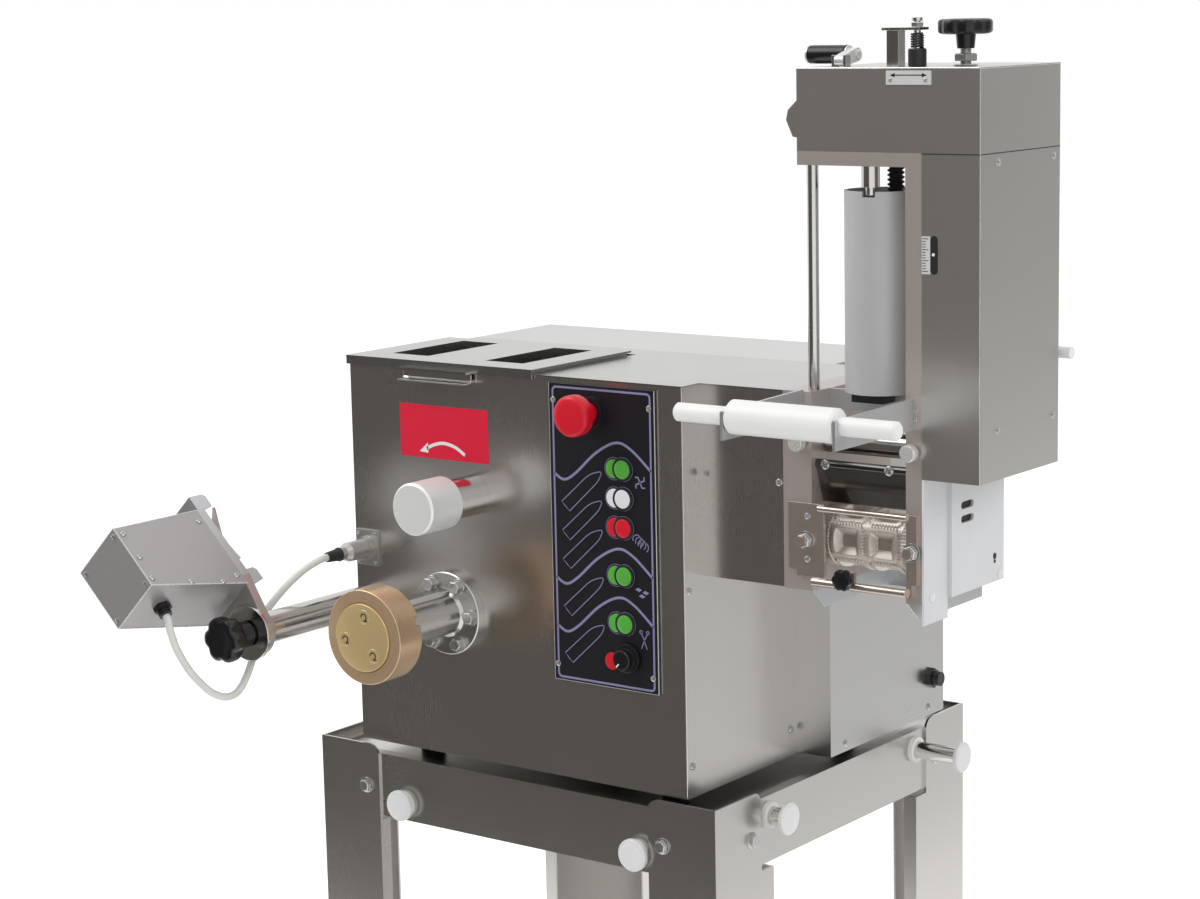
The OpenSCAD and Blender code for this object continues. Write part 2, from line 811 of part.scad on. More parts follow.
module cutter_motor_box() placed() color("darkgray") {
    arm_frame() translate([0, 0, -motor_w / 2]) linear_extrude(motor_w)
        polygon([[motor_u0, motor_front], [motor_u1, motor_front], [motor_u1, bracket_front],
            [motor_root, bracket_front]]);
}

// Sheet behind the bracket with four tapered flaps around the knives
module cutter_guard() placed() color("silver") {
    back = guard_front - guard_t;
    arm_frame() {
        difference() {
            block([guard_u[0], back, -guard_w / 2], [guard_u[1], guard_front, guard_w / 2]);
            bar_y(back - 1, guard_front + 1, swing_r, 0, shaft_r + 6);
        }
        for (w = [-guard_w / 2, guard_w / 2 - guard_t], u = [guard_u[0], guard_u[1] - flap_w])
            translate([u, 0, w]) linear_extrude(guard_t)
                polygon([[0, back], [flap_w, back], [flap_w, flap_front - 3],
                    [flap_w - 3, flap_front], [5, flap_front]]);
    }
}

// Hub with three pointed knives that pass close in front of the die
module cutter_rotor() placed() color("silver") {
    knives = 3;
    hub_r = 9;
    arm_frame() translate([swing_r, 0, 0]) {
        bar_y(bracket_front + seat, knife_back, 0, 0, shaft_r);
        bar_y(knife_back - knife_t - 4, knife_back, 0, 0, hub_r);
        for (i = [0:knives - 1])
            rotate([0, 45 + 360 / knives * i, 0]) translate([0, knife_back, 0])
                rotate([90, 0, 0]) linear_extrude(knife_t)
                    polygon([[6, -7], [knife_reach, 2], [knife_reach, 4], [6, 7]]);
    }
}

module cutter_clamp_knob() placed() color("black") {
    translate([rod_x, knob_back, rod_z]) {
        star_grip(knob_len, star_r, 6);
        rotate([-90, 0, 0]) cylinder(h = journal_end - knob_back - seat, r = journal_r + 3);
    }
}

// Cable gland along +Z: six-sided nut under a round neck
module cable_gland(nut, neck, length) {
    cylinder(h = 5, r = nut, $fn = 6);
    cylinder(h = length, r = neck);
}

module cutter_gland() placed() color("black") {
    arm_frame() translate([gland_u, gland_y, 0]) rotate([0, -90, gland_tilt])
        cable_gland(9, 6.5, 11);
}

// ---------------------------------------------------------------- cables

module cutter_socket() placed() color("silver") {
    block([plug_x - 15, -plug_flange_t, plug_z - 18.6], [plug_x + 14.5, 0, plug_z + 18.4]);
    bar_y(-plug_y, 1 - plug_flange_t, plug_x, plug_z, 12);
}

module cable_plug() placed() color("gray") {
    shell = 24;
    neck = 36;
    turned_y(plug_x, -plug_y, plug_z, [[0, 0], [10, 0], [10, shell], [7, shell + 6], [7, neck],
        [5.6, neck + 1], [4.6, plug_len], [0, plug_len]]);
}

// Ring of a swept tube at point i, square to the route there
function route_dir(p, i) =
    let (a = p[max(i - 1, 0)], b = p[min(i + 1, len(p) - 1)]) (b - a) / norm(b - a);
function unit(v) = v / norm(v);
function ring_at(p, i, r, n) =
    let (t = route_dir(p, i), s = unit(cross(t, [0.3, 0.1, 0.95])), q = cross(s, t))
    [for (k = [0:n - 1]) p[i] + r * (cos(360 * k / n) * s + sin(360 * k / n) * q)];
// Smooth points between the chosen ones (Catmull-Rom spline)
function spline(p, m) = [for (i = [0:len(p) - 2], k = [0:m - 1])
    let (a = p[max(i - 1, 0)], b = p[i], c = p[i + 1], d = p[min(i + 2, len(p) - 1)], t = k / m)
    0.5 * (2 * b + (c - a) * t + (2 * a - 5 * b + 4 * c - d) * t * t
        + (3 * b - a - 3 * c + d) * t * t * t), p[len(p) - 1]];

// Tube swept along a route
module swept_tube(route, r, n) {
    rings = [for (i = [0:len(route) - 1]) each ring_at(route, i, r, n)];
    last = len(route) - 1;
    polyhedron(rings, concat(
        [[for (k = [0:n - 1]) n - 1 - k]],
        [for (i = [0:last - 1], k = [0:n - 1])
            [i * n + k, i * n + (k + 1) % n, (i + 1) * n + (k + 1) % n, (i + 1) * n + k]],
        [[for (k = [0:n - 1]) last * n + k]]), convexity = 8);
}

module cutter_cable() placed() color("whitesmoke")
    swept_tube(spline(cable_points, 3), cable_r, 8);

module lead_gland() placed() color("black") {
    translate([rear_w, body_d - 27, 43]) rotate([0, 90, 0]) cable_gland(11, 7.5, 13);
}

// ---------------------------------------------------------------- ravioli unit

module axle_holes(grow) {
    for (y = [mould_y, mould_back_y])
        bar_x(bay_x - socket_d, bay_end + socket_d, y, mould_z, axle_r + grow);
    bar_x(bay_x - socket_d, bay_end + socket_d, sheet_y, sheet_z, sheet_axle_r + grow);
}

module ravioli_left_plate() placed() color("gray") {
    difference() {
        block([unit_x, unit_y, unit_z], [bay_x, unit_back, deck]);
        axle_holes(run);
    }
}

// Right side plate that runs up as the tower's upright
module ravioli_upright() placed() color("gray") {
    difference() {
        side_plate(bay_end, unit_right, [[unit_y, unit_z], [unit_back, unit_z],
            [unit_back, deck], [unit_y + 44, deck], [unit_y + 44, lintel_z], [unit_y, lintel_z]]);
        axle_holes(run);
    }
}

module head_lintel() placed() color("lightgray")
    block([head_x, unit_y, lintel_z], [unit_right, unit_y + 60, lintel_z + lintel_h]);

module round_post() placed() color("silver")
    bar_z(deck, lintel_z, post_x, post_y, post_r);

module tower_cover() placed() color("darkgray") {
    slit_x = unit_right + 10;
    difference() {
        block([unit_right, unit_y, deck - cover_drop], [tower_right, tower_back, head_z]);
        block([slit_x, unit_y - 1, deck + 117], [slit_x + 6, unit_y + 6, deck + 144]);
    }
    block([peg_x, tower_back - 1, peg_z - 9], [peg_x + 6, peg_y - peg_r - seat, peg_z + 9]);
}

// White plastic peg behind the side cover
module rear_peg() placed() color("white") {
    bar_x(peg_x - 6, tower_right + peg_out, peg_y, peg_z, peg_r);
    block([peg_x, peg_y - peg_r - seat, peg_z - 4], [peg_x + 6, peg_y, peg_z + 4]);
}

module tower_head() placed() color("darkgray") {
    ear = [unit_y + 4, unit_y + 16];
    block([head_x, unit_y, head_z - 1.5], [unit_right, tower_back, head_z]);
    block([head_x, unit_y, head_z], [tower_right, tower_back, head_top]);
    front_plate(ear[0], ear[1], [[head_x, head_z + 10], [head_x, head_z + 46],
        [head_x - 12, head_z + 35], [head_x - 14, head_z + 26], [head_x - 7, head_z + 11]]);
}

// Open cylinder that holds the filling, with a notch in its rim
module filling_cylinder() placed() color("silver") {
    difference() {
        bar_z(fill_z, fill_top, fill_x, fill_y, filling_r);
        bar_z(fill_z + 6, fill_top + 1, fill_x, fill_y, filling_r - filling_t);
        block([lock_x - notch_w / 2, fill_y - filling_r - 1, fill_top - notch_h],
            [lock_x + notch_w / 2, lock_y + notch_w / 2, fill_top + 1]);
    }
}

module cylinder_foot() placed() color("black")
    block([fill_x - 17, unit_y + 12, deck - 8], [fill_x + 17, unit_y + 31, fill_z]);

// Pin whose tip rests in the notch of the cylinder's rim
module locking_pin() placed() color("silver") {
    bar_z(lock_z, lintel_z, lock_x, lock_y, lock_r);
    bar_z(fill_top - 3, lock_z, lock_x, lock_y, lock_tip_r);
}

module press_screw() placed() color("black") {
    low = fill_top - 8;
    pitch = 4;
    bar_z(low, lintel_z, screw_x, fill_y, screw_r - 2);
    for (z = [low + 2:pitch:lintel_z - 3])
        bar_z(z, z + pitch / 2, screw_x, fill_y, screw_r);
}

// Two tapered arms with notches for the rolling pin, and the plate between them
module pin_bracket() placed() color("lightgray") {
    notch = pin_handle_r + seat;
    for (x = arm_x)
        difference() {
            side_plate(x - arm_t / 2, x + arm_t / 2, [[unit_y, arm_low_z], [arm_tip_y, arm_low_z],
                [arm_tip_y, pin_z + 6], [unit_y, deck + 2]]);
            bar_x(x - arm_t, x + arm_t, pin_y, pin_z, notch);
            block([x - arm_t, pin_y - notch, pin_z], [x + arm_t, pin_y + notch, deck + 20]);
        }
    block([bay_x, sheet_y, deck - 19], [bay_end, sheet_y + arm_t, deck]);
}

module rolling_pin() placed() color("white") {
    body = (arm_x[1] - arm_x[0]) / 2 - arm_t / 2 - 1;
    end = pin_len / 2;
    round_r = 2;
    translate([(arm_x[0] + arm_x[1]) / 2, pin_y, pin_z]) rotate([0, 90, 0])
        rotate_extrude() polygon([[0, -end], [pin_handle_r - round_r, -end],
            [pin_handle_r, round_r - end], [pin_handle_r, -body], [pin_r - round_r, -body],
            [pin_r, round_r - body], [pin_r, body - round_r], [pin_r - round_r, body],
            [pin_handle_r, body], [pin_handle_r, end - round_r], [pin_handle_r - round_r, end],
            [0, end]]);
}

module sheet_roller() placed() color("silver") {
    bar_x(bay_x + end_gap, bay_end - end_gap, sheet_y, sheet_z, sheet_r);
    bar_x(bay_x - socket_d + 1, bay_end + socket_d - 1, sheet_y, sheet_z, sheet_axle_r);
}

// Moulding roller: rows of square pockets with raised borders
module mould_roller(y, offset) {
    translate([0, y, mould_z]) rotate([offset, 0, 0]) {
        difference() {
            union() {
                bar_x(bay_x + end_gap, bay_end - end_gap, 0, 0, mould_r - border_h);
                intersection() {
                    bar_x(bay_x + end_gap, bay_end - end_gap, 0, 0, mould_r);
                    each_pocket() translate([0, 0, mould_r / 2])
                        cube([pocket_w + 2 * border_w, pocket_w + 2 * border_w, mould_r], center = true);
                }
            }
            each_pocket() translate([0, 0, mould_r - pocket_depth]) mould_pocket();
        }
        bar_x(bay_x - socket_d + 1, bay_end + socket_d - 1, 0, 0, axle_r);
    }
}

// Places its children at every pocket of a roller, turned to face outwards along +Z
module each_pocket()
    for (i = [0:pockets_round - 1], j = [0:pockets_along - 1])
        rotate([360 / pockets_round * i, 0, 0])
            translate([(bay_x + bay_end) / 2 + (j - (pockets_along - 1) / 2) * pocket_pitch, 0, 0])
                children();

// Square recess with four sloping sides, opening towards +Z
module mould_pocket() {
    slope = pocket_slope / pocket_depth;
    half = pocket_w / 2 - pocket_slope;
    rotate([0, 0, 45]) cylinder(h = pocket_depth + 1, r1 = half * sqrt(2),
        r2 = (half + slope * (pocket_depth + 1)) * sqrt(2), $fn = 4);
}

module mould_roller_front() placed() color("rosybrown") mould_roller(mould_y, 90);
module mould_roller_back() placed() color("rosybrown") mould_roller(mould_back_y, 270);

// Removable frame in front of the mould rollers
module mould_cradle() placed() color("tan") {
    low = mould_z - 34;
    high = mould_z + 35;
    foot = latch_z - 12;
    front = unit_y - plate_t;
    left = [unit_x + 7, unit_x + 46];
    right = [bay_end + 2, bay_end + 13];
    front_plate(front, unit_y, [[left[0], low + 6], [left[0] + 9, low + 6],
        [left[0] + 9, low], [left[1], low], [left[1], high], [left[0], high]]);
    block([right[0], front, low + 4], [right[1], unit_y, high - 1]);
    bar_x(left[1] - 6, right[0] + 1, front - 0.2, high - 4, 3);
    bar_x(left[1] - 12, right[0] + 1, front - 1.2, latch_z - 8, 4);
    block([left[1] - 12, front, foot], [left[1] - 6, unit_y, low + 1]);
    block([right[0], front, foot], [right[0] + 6, unit_y, low + 5]);
    block([latch_x - 5, front - 1, latch_z - 9], [latch_x + 5, unit_y - 1, latch_z + 5]);
    for (x = [unit_x + 26, bay_end + 7.5])
        bar_y(front - 9, front, x, mould_z, 5);
}

module cradle_knob() placed() color("black") {
    back = unit_y - 12;
    translate([latch_x, back, latch_z]) star_grip(9, 10, 6);
    bar_y(back, unit_y - plate_t - 1 - seat, latch_x, latch_z, 4);
}

// Two bars and the sheet that guides the dough behind the window
module scraper() placed() color("dimgray") {
    top = deck - 70;
    foot = deck - 104;
    bar_x(bay_x, bay_end, unit_y + 10, top + 3, 4);
    side_plate(bay_x, bay_end, [[unit_y + 8, top], [unit_y + 12, top],
        [unit_y + 22, foot], [unit_y + 19, foot]]);
}

module ravioli_chute() placed() color("lightgray") {
    t = 2;
    back = unit_back - 4;
    foot = unit_z - chute_drop;
    for (x = [bay_x - t, bay_end])
        side_plate(x, x + t, [[unit_y, unit_z], [back, unit_z], [back, foot],
            [unit_y + 20, foot]]);
    block([bay_x - 1, back - t, foot], [bay_end + 1, back, unit_z]);
}

module side_guard() placed() color("whitesmoke") {
    top = deck - cover_drop;
    bend_y = unit_y + 43;
    slit_y = [unit_y + 64, unit_y + 80];
    difference() {
        union() {
            block([unit_right, unit_y, unit_z - chute_drop], [unit_right + 2, bend_y, top]);
            block([unit_right, bend_y, unit_z], [unit_right + 6, unit_back, top]);
        }
        for (z = [top - 33, top - 46]) {
            block([unit_right + 3, slit_y[0], z - slit_r], [unit_right + 7, slit_y[1], z + slit_r]);
            for (y = slit_y)
                bar_x(unit_right + 3, unit_right + 7, y, z, slit_r);
        }
    }
}

// ---------------------------------------------------------------- tower top

module crank_lever() placed() color("silver") {
    arm_end = crank_x + crank_t;
    difference() {
        hull() {
            bar_x(crank_x, arm_end, crank_y - 16, crank_pivot, 5);
            bar_x(crank_x, arm_end, crank_y + 6, crank_pivot + 5, 6);
        }
        bar_x(crank_x - 1, arm_end + 1, crank_y - 16, crank_pivot, 2.5 + run);
    }
    bar_x(crank_x - grip_len, crank_x, crank_y + 6, crank_pivot + 5, 8);
}

// Star grip on a threaded neck with a nut and a washer
module adjusting_knob() placed() color("black") {
    bar_z(head_top + seat, head_top + 5, adjust_x, adjust_y, 11);
    translate([adjust_x, adjust_y, head_top + 4]) cylinder(h = 8, r = 12, $fn = 6);
    bar_z(head_top + 11, head_top + 29, adjust_x, adjust_y, 8);
    translate([adjust_x, adjust_y, head_top + 27.6]) rotate([-90, 0, 0]) star_grip(13.4, 24.6, 6);
}

// Clip with a sprung bolt above the filling cylinder, and the crank's pivot ears
module spring_latch() placed() color("silver") {
    block([clip_x, clip_y - 6, head_top], [clip_x + 12, clip_y + 6, head_top + 33]);
    block([clip_x - 4, clip_y - 8, head_top + 32], [clip_x + 35, clip_y + 8, head_top + 34.5]);
    bar_z(head_top, head_top + 43, bolt_x, clip_y, 3.2);
    bar_z(head_top, head_top + 15.5, bolt_x, clip_y, 7);
    bar_z(head_top + 40, head_top + 43, bolt_x, clip_y, 5);
    for (x = [crank_x - seat - ear_t, crank_x + crank_t + seat])
        block([x, crank_y - 20, head_top], [x + ear_t, crank_y - 12, head_top + 11]);
    bar_x(crank_x - seat - ear_t, crank_x + crank_t + seat + ear_t, crank_y - 16, crank_pivot, 2.5);
}

// ---------------------------------------------------------------- nodes

stand_legs();
stand_rails();
stand_top();
leveling_feet();
rod_guides();
tray_rod_front_left();
tray_rod_front_right();
tray_rod_side_front();
tray_rod_side_rear();
machine_feet();
housing_front();
rear_housing();
support_box();
deck_plate();
mixing_tank();
mixing_shaft();
mixer_lid();
gate_sleeve();
gate_knob();
control_panel();
stop_button();
speed_dial();
cutter_socket();
cable_plug();
cutter_cable();
extruder_barrel();
ring_nut();
die();
cutter_rod();
cutter_arm();
cutter_motor_box();
cutter_guard();
cutter_rotor();
cutter_clamp_knob();
cutter_gland();
lead_gland();
ravioli_left_plate();
ravioli_upright();
head_lintel();
round_post();
tower_cover();
tower_head();
filling_cylinder();
cylinder_foot();
locking_pin();
press_screw();
rear_peg();
pin_bracket();
rolling_pin();
sheet_roller();
mould_roller_front();
mould_roller_back();
mould_cradle();
cradle_knob();
scraper();
ravioli_chute();
side_guard();
crank_lever();
adjusting_knob();
spring_latch();
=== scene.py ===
# %% [markdown]
# This lesson dresses a bench-top pasta machine: a mixer over a screw extruder,
# a cutter that swings in front of the die, and a ravioli unit under its filling
# tower, all on a sheet-metal stand. The CAD model gives every piece its size and
# place in metres, so each step here asks the frame where things are, gives the
# CAD pieces their finish, and adds what is too fine for CAD: screws, threads,
# printed lines, springs and the cable.

import json
import math

import bpy
import numpy as np
from mathutils import Matrix, Vector

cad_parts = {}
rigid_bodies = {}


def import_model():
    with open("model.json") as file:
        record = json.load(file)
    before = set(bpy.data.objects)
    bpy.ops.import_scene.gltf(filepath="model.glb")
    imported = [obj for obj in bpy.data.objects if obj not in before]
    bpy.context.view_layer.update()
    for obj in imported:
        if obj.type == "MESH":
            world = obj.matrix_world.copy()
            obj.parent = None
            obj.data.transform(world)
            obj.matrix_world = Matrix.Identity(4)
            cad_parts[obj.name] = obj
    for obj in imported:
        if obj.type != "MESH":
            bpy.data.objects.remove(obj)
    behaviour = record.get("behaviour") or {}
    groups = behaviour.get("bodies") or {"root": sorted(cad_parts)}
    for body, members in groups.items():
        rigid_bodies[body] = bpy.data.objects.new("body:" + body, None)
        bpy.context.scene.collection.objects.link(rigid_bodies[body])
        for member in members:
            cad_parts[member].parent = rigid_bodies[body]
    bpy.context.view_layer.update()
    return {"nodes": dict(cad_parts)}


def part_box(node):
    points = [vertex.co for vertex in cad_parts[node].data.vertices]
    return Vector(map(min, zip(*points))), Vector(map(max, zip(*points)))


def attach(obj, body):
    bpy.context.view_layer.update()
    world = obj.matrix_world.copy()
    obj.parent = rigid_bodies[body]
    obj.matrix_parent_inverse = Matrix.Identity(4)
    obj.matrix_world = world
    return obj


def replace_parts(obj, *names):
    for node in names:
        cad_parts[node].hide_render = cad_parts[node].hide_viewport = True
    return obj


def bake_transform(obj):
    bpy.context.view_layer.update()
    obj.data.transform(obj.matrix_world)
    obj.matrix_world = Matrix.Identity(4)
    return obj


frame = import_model()
nodes = frame["nodes"]

# %% [markdown]
# Every place below is said in millimetres from one corner that a maker would
# measure from: the lower left front corner of the housing, with x to the right,
# y to the back and z up. One function turns such a place into the frame's metres.

# %% Places measured from the housing's corner
MM = 0.001
corner = np.array(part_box("housing_front")[0])


def place(x, y, z):
    """The point x, y, z millimetres from the housing's corner, in metres in the frame."""
    return corner + MM * np.array([x, y, z], float)


def span(node):
    """Lowest and highest corner of a CAD node in millimetres from the housing's corner."""
    low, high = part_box(node)
    return (np.array(low) - corner) / MM, (np.array(high) - corner) / MM


def middle(node):
    """Centre of a CAD node's box, in metres."""
    low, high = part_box(node)
    return [(a + b) / 2 for a, b in zip(low, high)]


print("corner of the housing:", corner.round(4))

# %% [markdown]
# The camera stands to the right and a little above, with a long lens, as for a
# catalogue. A camera looks along its own -Z, so its matrix is built from three
# directions: right, up and back. A small roll leans the picture by a degree.

# %% Camera
azimuth, pitch, roll = np.radians([37.15, 9.43, -1.20])
back = np.array([math.sin(azimuth) * math.cos(pitch), -math.cos(azimuth) * math.cos(pitch), math.sin(pitch)])
level = np.array([math.cos(azimuth), math.sin(azimuth), 0.0])
upright = np.cross(back, level)
side = math.cos(roll) * level + math.sin(roll) * upright
top = -math.sin(roll) * level + math.cos(roll) * upright

camera = bpy.data.objects.new("camera", bpy.data.cameras.new("camera"))
bpy.context.scene.collection.objects.link(camera)
bpy.context.scene.camera = camera
camera.data.lens = 81.12
camera.data.clip_end = 60
bpy.context.scene.view_settings.view_transform = "Standard"
turn = Matrix(np.array([side, top, back]).T.tolist()).to_4x4()
camera.matrix_world = Matrix.Translation(place(1864.5, -2039.4, 757.5)) @ turn
print("camera at", place(1864.5, -2039.4, 757.5).round(3))

# %% [markdown]
# A surface here is a function of two numbers: u runs along it and v across it.
# Both become a grid of points, worked out as whole arrays, and one helper joins
# the grid's neighbours into four-sided faces. The last column joins the first, so
# every grid is a tube, and one many-sided face closes each of its ends.

# %% Helper: a grid of points becomes a mesh piece
everything = bpy.context.scene.collection


def grid_faces(rows, columns):
    """Corner numbers of the faces of a grid whose last column joins the first."""
    row, column = np.meshgrid(np.arange(rows - 1), np.arange(columns), indexing="ij")
    after = (column + 1) % columns
    a, b = row * columns + column, row * columns + after
    c, d = (row + 1) * columns + after, (row + 1) * columns + column
    return np.stack([a, b, c, d], axis=-1).reshape(-1, 4)


def surface(points):
    """Points (rows, columns, 3) as the vertices and faces of a tube with both ends closed."""
    rows, columns = points.shape[:2]
    faces = grid_faces(rows, columns).tolist()
    faces.append(list(range(columns))[::-1])
    faces.append([(rows - 1) * columns + k for k in range(columns)])
    return points.reshape(-1, 3), faces


def join(parts):
    """Several (vertices, faces) as one, with the later corner numbers moved up."""
    vertices, faces, start = [], [], 0
    for part_vertices, part_faces in parts:
        vertices.append(part_vertices)
        faces += [[corner_number + start for corner_number in face] for face in part_faces]
        start += len(part_vertices)
    return np.concatenate(vertices), faces


def piece(name, shape, body, finish, smooth=35):
    """A mesh from (vertices, faces), on a body unless that is None; edges over smooth degrees stay sharp."""
    mesh = bpy.data.meshes.new(name)
    mesh.from_pydata(np.asarray(shape[0]).tolist(), [], shape[1])
    mesh.validate()
    mesh.polygons.foreach_set("use_smooth", np.ones(len(mesh.polygons), bool))
    mesh.set_sharp_from_angle(angle=math.radians(smooth))
    mesh.materials.append(finish)
    made = bpy.data.objects.new(name, mesh)
    everything.objects.link(made)
    if body:
        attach(made, body)
    print(name, len(mesh.polygons), "faces")
    return made


# %% [markdown]
# A tube or a round part is a ring carried along a path. At each point of the
# path the ring lies in the plane across the path's direction: two directions
# at right angles to it, times cosine and sine, give the circle.

# %% Helper: rings carried along a path
def frames(path):
    """Unit directions along a path and two across it, for each of its points."""
    along = np.gradient(path, axis=0)
    along /= np.linalg.norm(along, axis=1, keepdims=True)
    across = np.cross(along, [0.3, 0.1, 0.95])
    across /= np.linalg.norm(across, axis=1, keepdims=True)
    return along, across, np.cross(along, across)


def tube(path, radius, sides=16):
    """Points p + r (cos a s + sin a t): circles of the given radius across each path point p."""
    _, across, upward = frames(path)
    angle = np.linspace(0, 2 * np.pi, sides, endpoint=False)
    radius = np.broadcast_to(radius, len(path))[:, None, None]
    ring = np.cos(angle)[None, :, None] * across[:, None] + np.sin(angle)[None, :, None] * upward[:, None]
    return surface(path[:, None] + radius * ring)


def smooth_path(points, steps):
    """Catmull-Rom curve: a cubic between each pair of points, level with its neighbours' chord."""
    padded = np.concatenate([points[:1], points, points[-1:]])
    before, start, end, after = padded[:-3], padded[1:-2], padded[2:-1], padded[3:]
    t = (np.arange(steps) / steps)[None, :, None]
    before, start, end, after = (p[:, None] for p in (before, start, end, after))
    curve = 0.5 * (
        2 * start
        + (end - before) * t
        + (2 * before - 5 * start + 4 * end - after) * t**2
        + (3 * start - before - 3 * end + after) * t**3
    )
    return np.concatenate([curve.reshape(-1, points.shape[1]), points[-1:]])


# %% [markdown]
# A finish is a small graph of shader nodes. Writing it as sums and products is
# easier to read than linking nodes one by one, so a socket is wrapped in a class
# whose operators add Math nodes. Numbers alone never become nodes: Python works
# them out first.

# %% Helper: shader maths as expressions
class Wire:
    """An output socket of a finish; + * and powers with wires or numbers add Math nodes."""

    def __init__(self, finish, socket):
        self.finish, self.socket = finish, socket

    def maths(self, operation, *values):
        return self.finish.node("ShaderNodeMath", {"operation": operation}, dict(enumerate(values)))

    def __add__(self, other):
        return self.maths("ADD", self, other)

    def __mul__(self, other):
        return self.maths("MULTIPLY", self, other)

    def __pow__(self, other):
        return self.maths("POWER", self, other)

    def above(self, low, high):
        """0 below low, 1 above high, and straight between them."""
        return self.finish.node("ShaderNodeMapRange", {"clamp": True}, {0: self, 1: low, 2: high})

    __radd__ = __add__
    __rmul__ = __mul__


class Graph:
    """The nodes of a material or of the world; one method makes them all."""

    def __init__(self, owner, last_node):
        owner.use_nodes = True
        self.tree = owner.node_tree
        self.last = self.tree.nodes[last_node]

    def node(self, kind, settings=None, sockets=None, output=0):
        """A shader node: its settings first, then the values or wires of its sockets."""
        made = self.tree.nodes.new(kind)
        for setting, value in (settings or {}).items():
            setattr(made, setting, value)
        for socket, value in (sockets or {}).items():
            if isinstance(value, Wire):
                self.tree.links.new(value.socket, made.inputs[socket])
            else:
                made.inputs[socket].default_value = value
        return Wire(self, made.outputs[output])

    def feed(self, **values):
        """Sets or links the sockets of the node that ends the graph."""
        for socket, value in values.items():
            entry = self.last.inputs[socket.replace("_", " ")]
            if isinstance(value, Wire):
                self.tree.links.new(value.socket, entry)
            else:
                entry.default_value = value

    def seen(self):
        """1 for the rays that show the background itself or its mirror image, and 0 for light."""
        rays = ("Is Camera Ray", "Is Glossy Ray", "Is Transmission Ray")
        camera_ray, glossy_ray, clear_ray = (self.node("ShaderNodeLightPath", output=ray) for ray in rays)
        return camera_ray + glossy_ray + clear_ray


class Finish(Graph):
    """A material with a Principled surface; constants are set on the surface's own sockets."""

    def __init__(self, name, **constants):
        self.material = bpy.data.materials.new(name)
        super().__init__(self.material, "Principled BSDF")
        self.feed(**constants)

    def objects(self, centre=(0, 0, 0), scale=(1, 1, 1)):
        """Object coordinates, measured from centre and then scaled along each axis."""
        coordinates = self.node("ShaderNodeTexCoord", output=3)
        moved = [-middle * times for middle, times in zip(centre, scale)]
        return self.node("ShaderNodeMapping", {}, {0: coordinates, 1: moved, 3: scale})

    def axes(self, node):
        """The x, y and z of object coordinates, measured from the middle of a CAD node."""
        apart = self.node("ShaderNodeSeparateXYZ", {}, {0: self.objects(centre=middle(node))})
        return [Wire(self, output) for output in apart.socket.node.outputs]

    def noise(self, vector, scale, detail=3.0, roughness=0.5):
        """Smooth noise between 0 and 1."""
        sockets = {"Vector": vector, "Scale": scale, "Detail": detail, "Roughness": roughness}
        return self.node("ShaderNodeTexNoise", {}, sockets)

    def blend(self, factor, low, high):
        """The colour low where factor is 0 and high where it is 1."""
        settings = {"data_type": "RGBA"}
        return self.node("ShaderNodeMix", settings, {0: factor, 6: (*low, 1), 7: (*high, 1)}, output=2)

    def looks(self, **values):
        """Feeds the surface and hands over the finished material."""
        self.feed(**values)
        return self.material

    def bump(self, height, strength, depth, soft_edge=0.0):
        """The surface's normal tilted by a height; soft_edge rounds the look of sharp edges."""
        sockets = {"Height": height, "Strength": strength, "Distance": depth}
        if soft_edge:
            sockets["Normal"] = self.node("ShaderNodeBevel", {"samples": 4}, {"Radius": soft_edge})
        return self.node("ShaderNodeBump", {}, sockets)


# %% [markdown]
# The cutter's cable runs from the cutter's motor, down under the rod it swings on,
# and up to a round plug in the housing's front. It is a soft cable of 7.6 mm in a
# white sleeve, about a third of a metre long. Its route points are the same as
# in the CAD model, and the tube follows the same smooth curve more finely.

# %% The cutter's cable
CABLE_RADIUS = 3.8 * MM
route = smooth_path(place(0, 0, 0) + MM * np.array([
    [-13, -260.5, 179.5], [-10, -261.4, 176.5], [-7.3, -262, 167], [-4.5, -258, 149],
    [-1, -252.5, 134.5], [3, -246, 121.5], [7.5, -238, 110], [11.5, -230, 101],
    [15, -221.5, 95.3], [17.5, -213, 93], [19, -204, 94.2], [19, -195, 99.5],
    [16, -184, 107.8], [11.5, -174, 115], [4.5, -162, 121.5], [-4, -150, 130],
    [-11, -138, 142], [-12, -126, 156.5], [-7.5, -113, 171], [-1.5, -100, 184],
    [7, -87, 196], [15, -76, 203.5], [17.5, -70, 205.6], [17.5, -64.3, 205.6]]), 8)

sleeve = Finish("white_sleeve", Roughness=0.38, Coat_Weight=0.15)
cloud = sleeve.noise(sleeve.objects(), 120)
sleeve_white = sleeve.looks(
    Base_Color=sleeve.blend(cloud, (0.70, 0.70, 0.66), (0.80, 0.80, 0.77)),
    Normal=sleeve.bump(sleeve.noise(sleeve.objects(), 900), 0.1, 0.0003),
)
cable = piece("cable_sleeve", tube(route, CABLE_RADIUS), None, sleeve_white)
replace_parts(cable, "cutter_cable")
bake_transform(cable)

boot_rubber = Finish("boot_rubber", Roughness=0.6)
grain = boot_rubber.noise(boot_rubber.objects(), 800)
boot_black = boot_rubber.looks(
    Base_Color=boot_rubber.blend(grain, (0.012, 0.012, 0.013), (0.02, 0.02, 0.021)),
    Normal=boot_rubber.bump(grain, 0.2, 0.0003),
)
boot_path = place(17.5, 0, 205.6) + MM * np.array([[0, y, 0] for y in (-64.6, -64.2, -63, -48, -46.8, -46.2)])
boot_radius = MM * np.array([4.2, 4.9, 5.2, 6.4, 7.3, 7.3])
plug_boot = piece("plug_boot", tube(boot_path, boot_radius, 32), "base", boot_black)

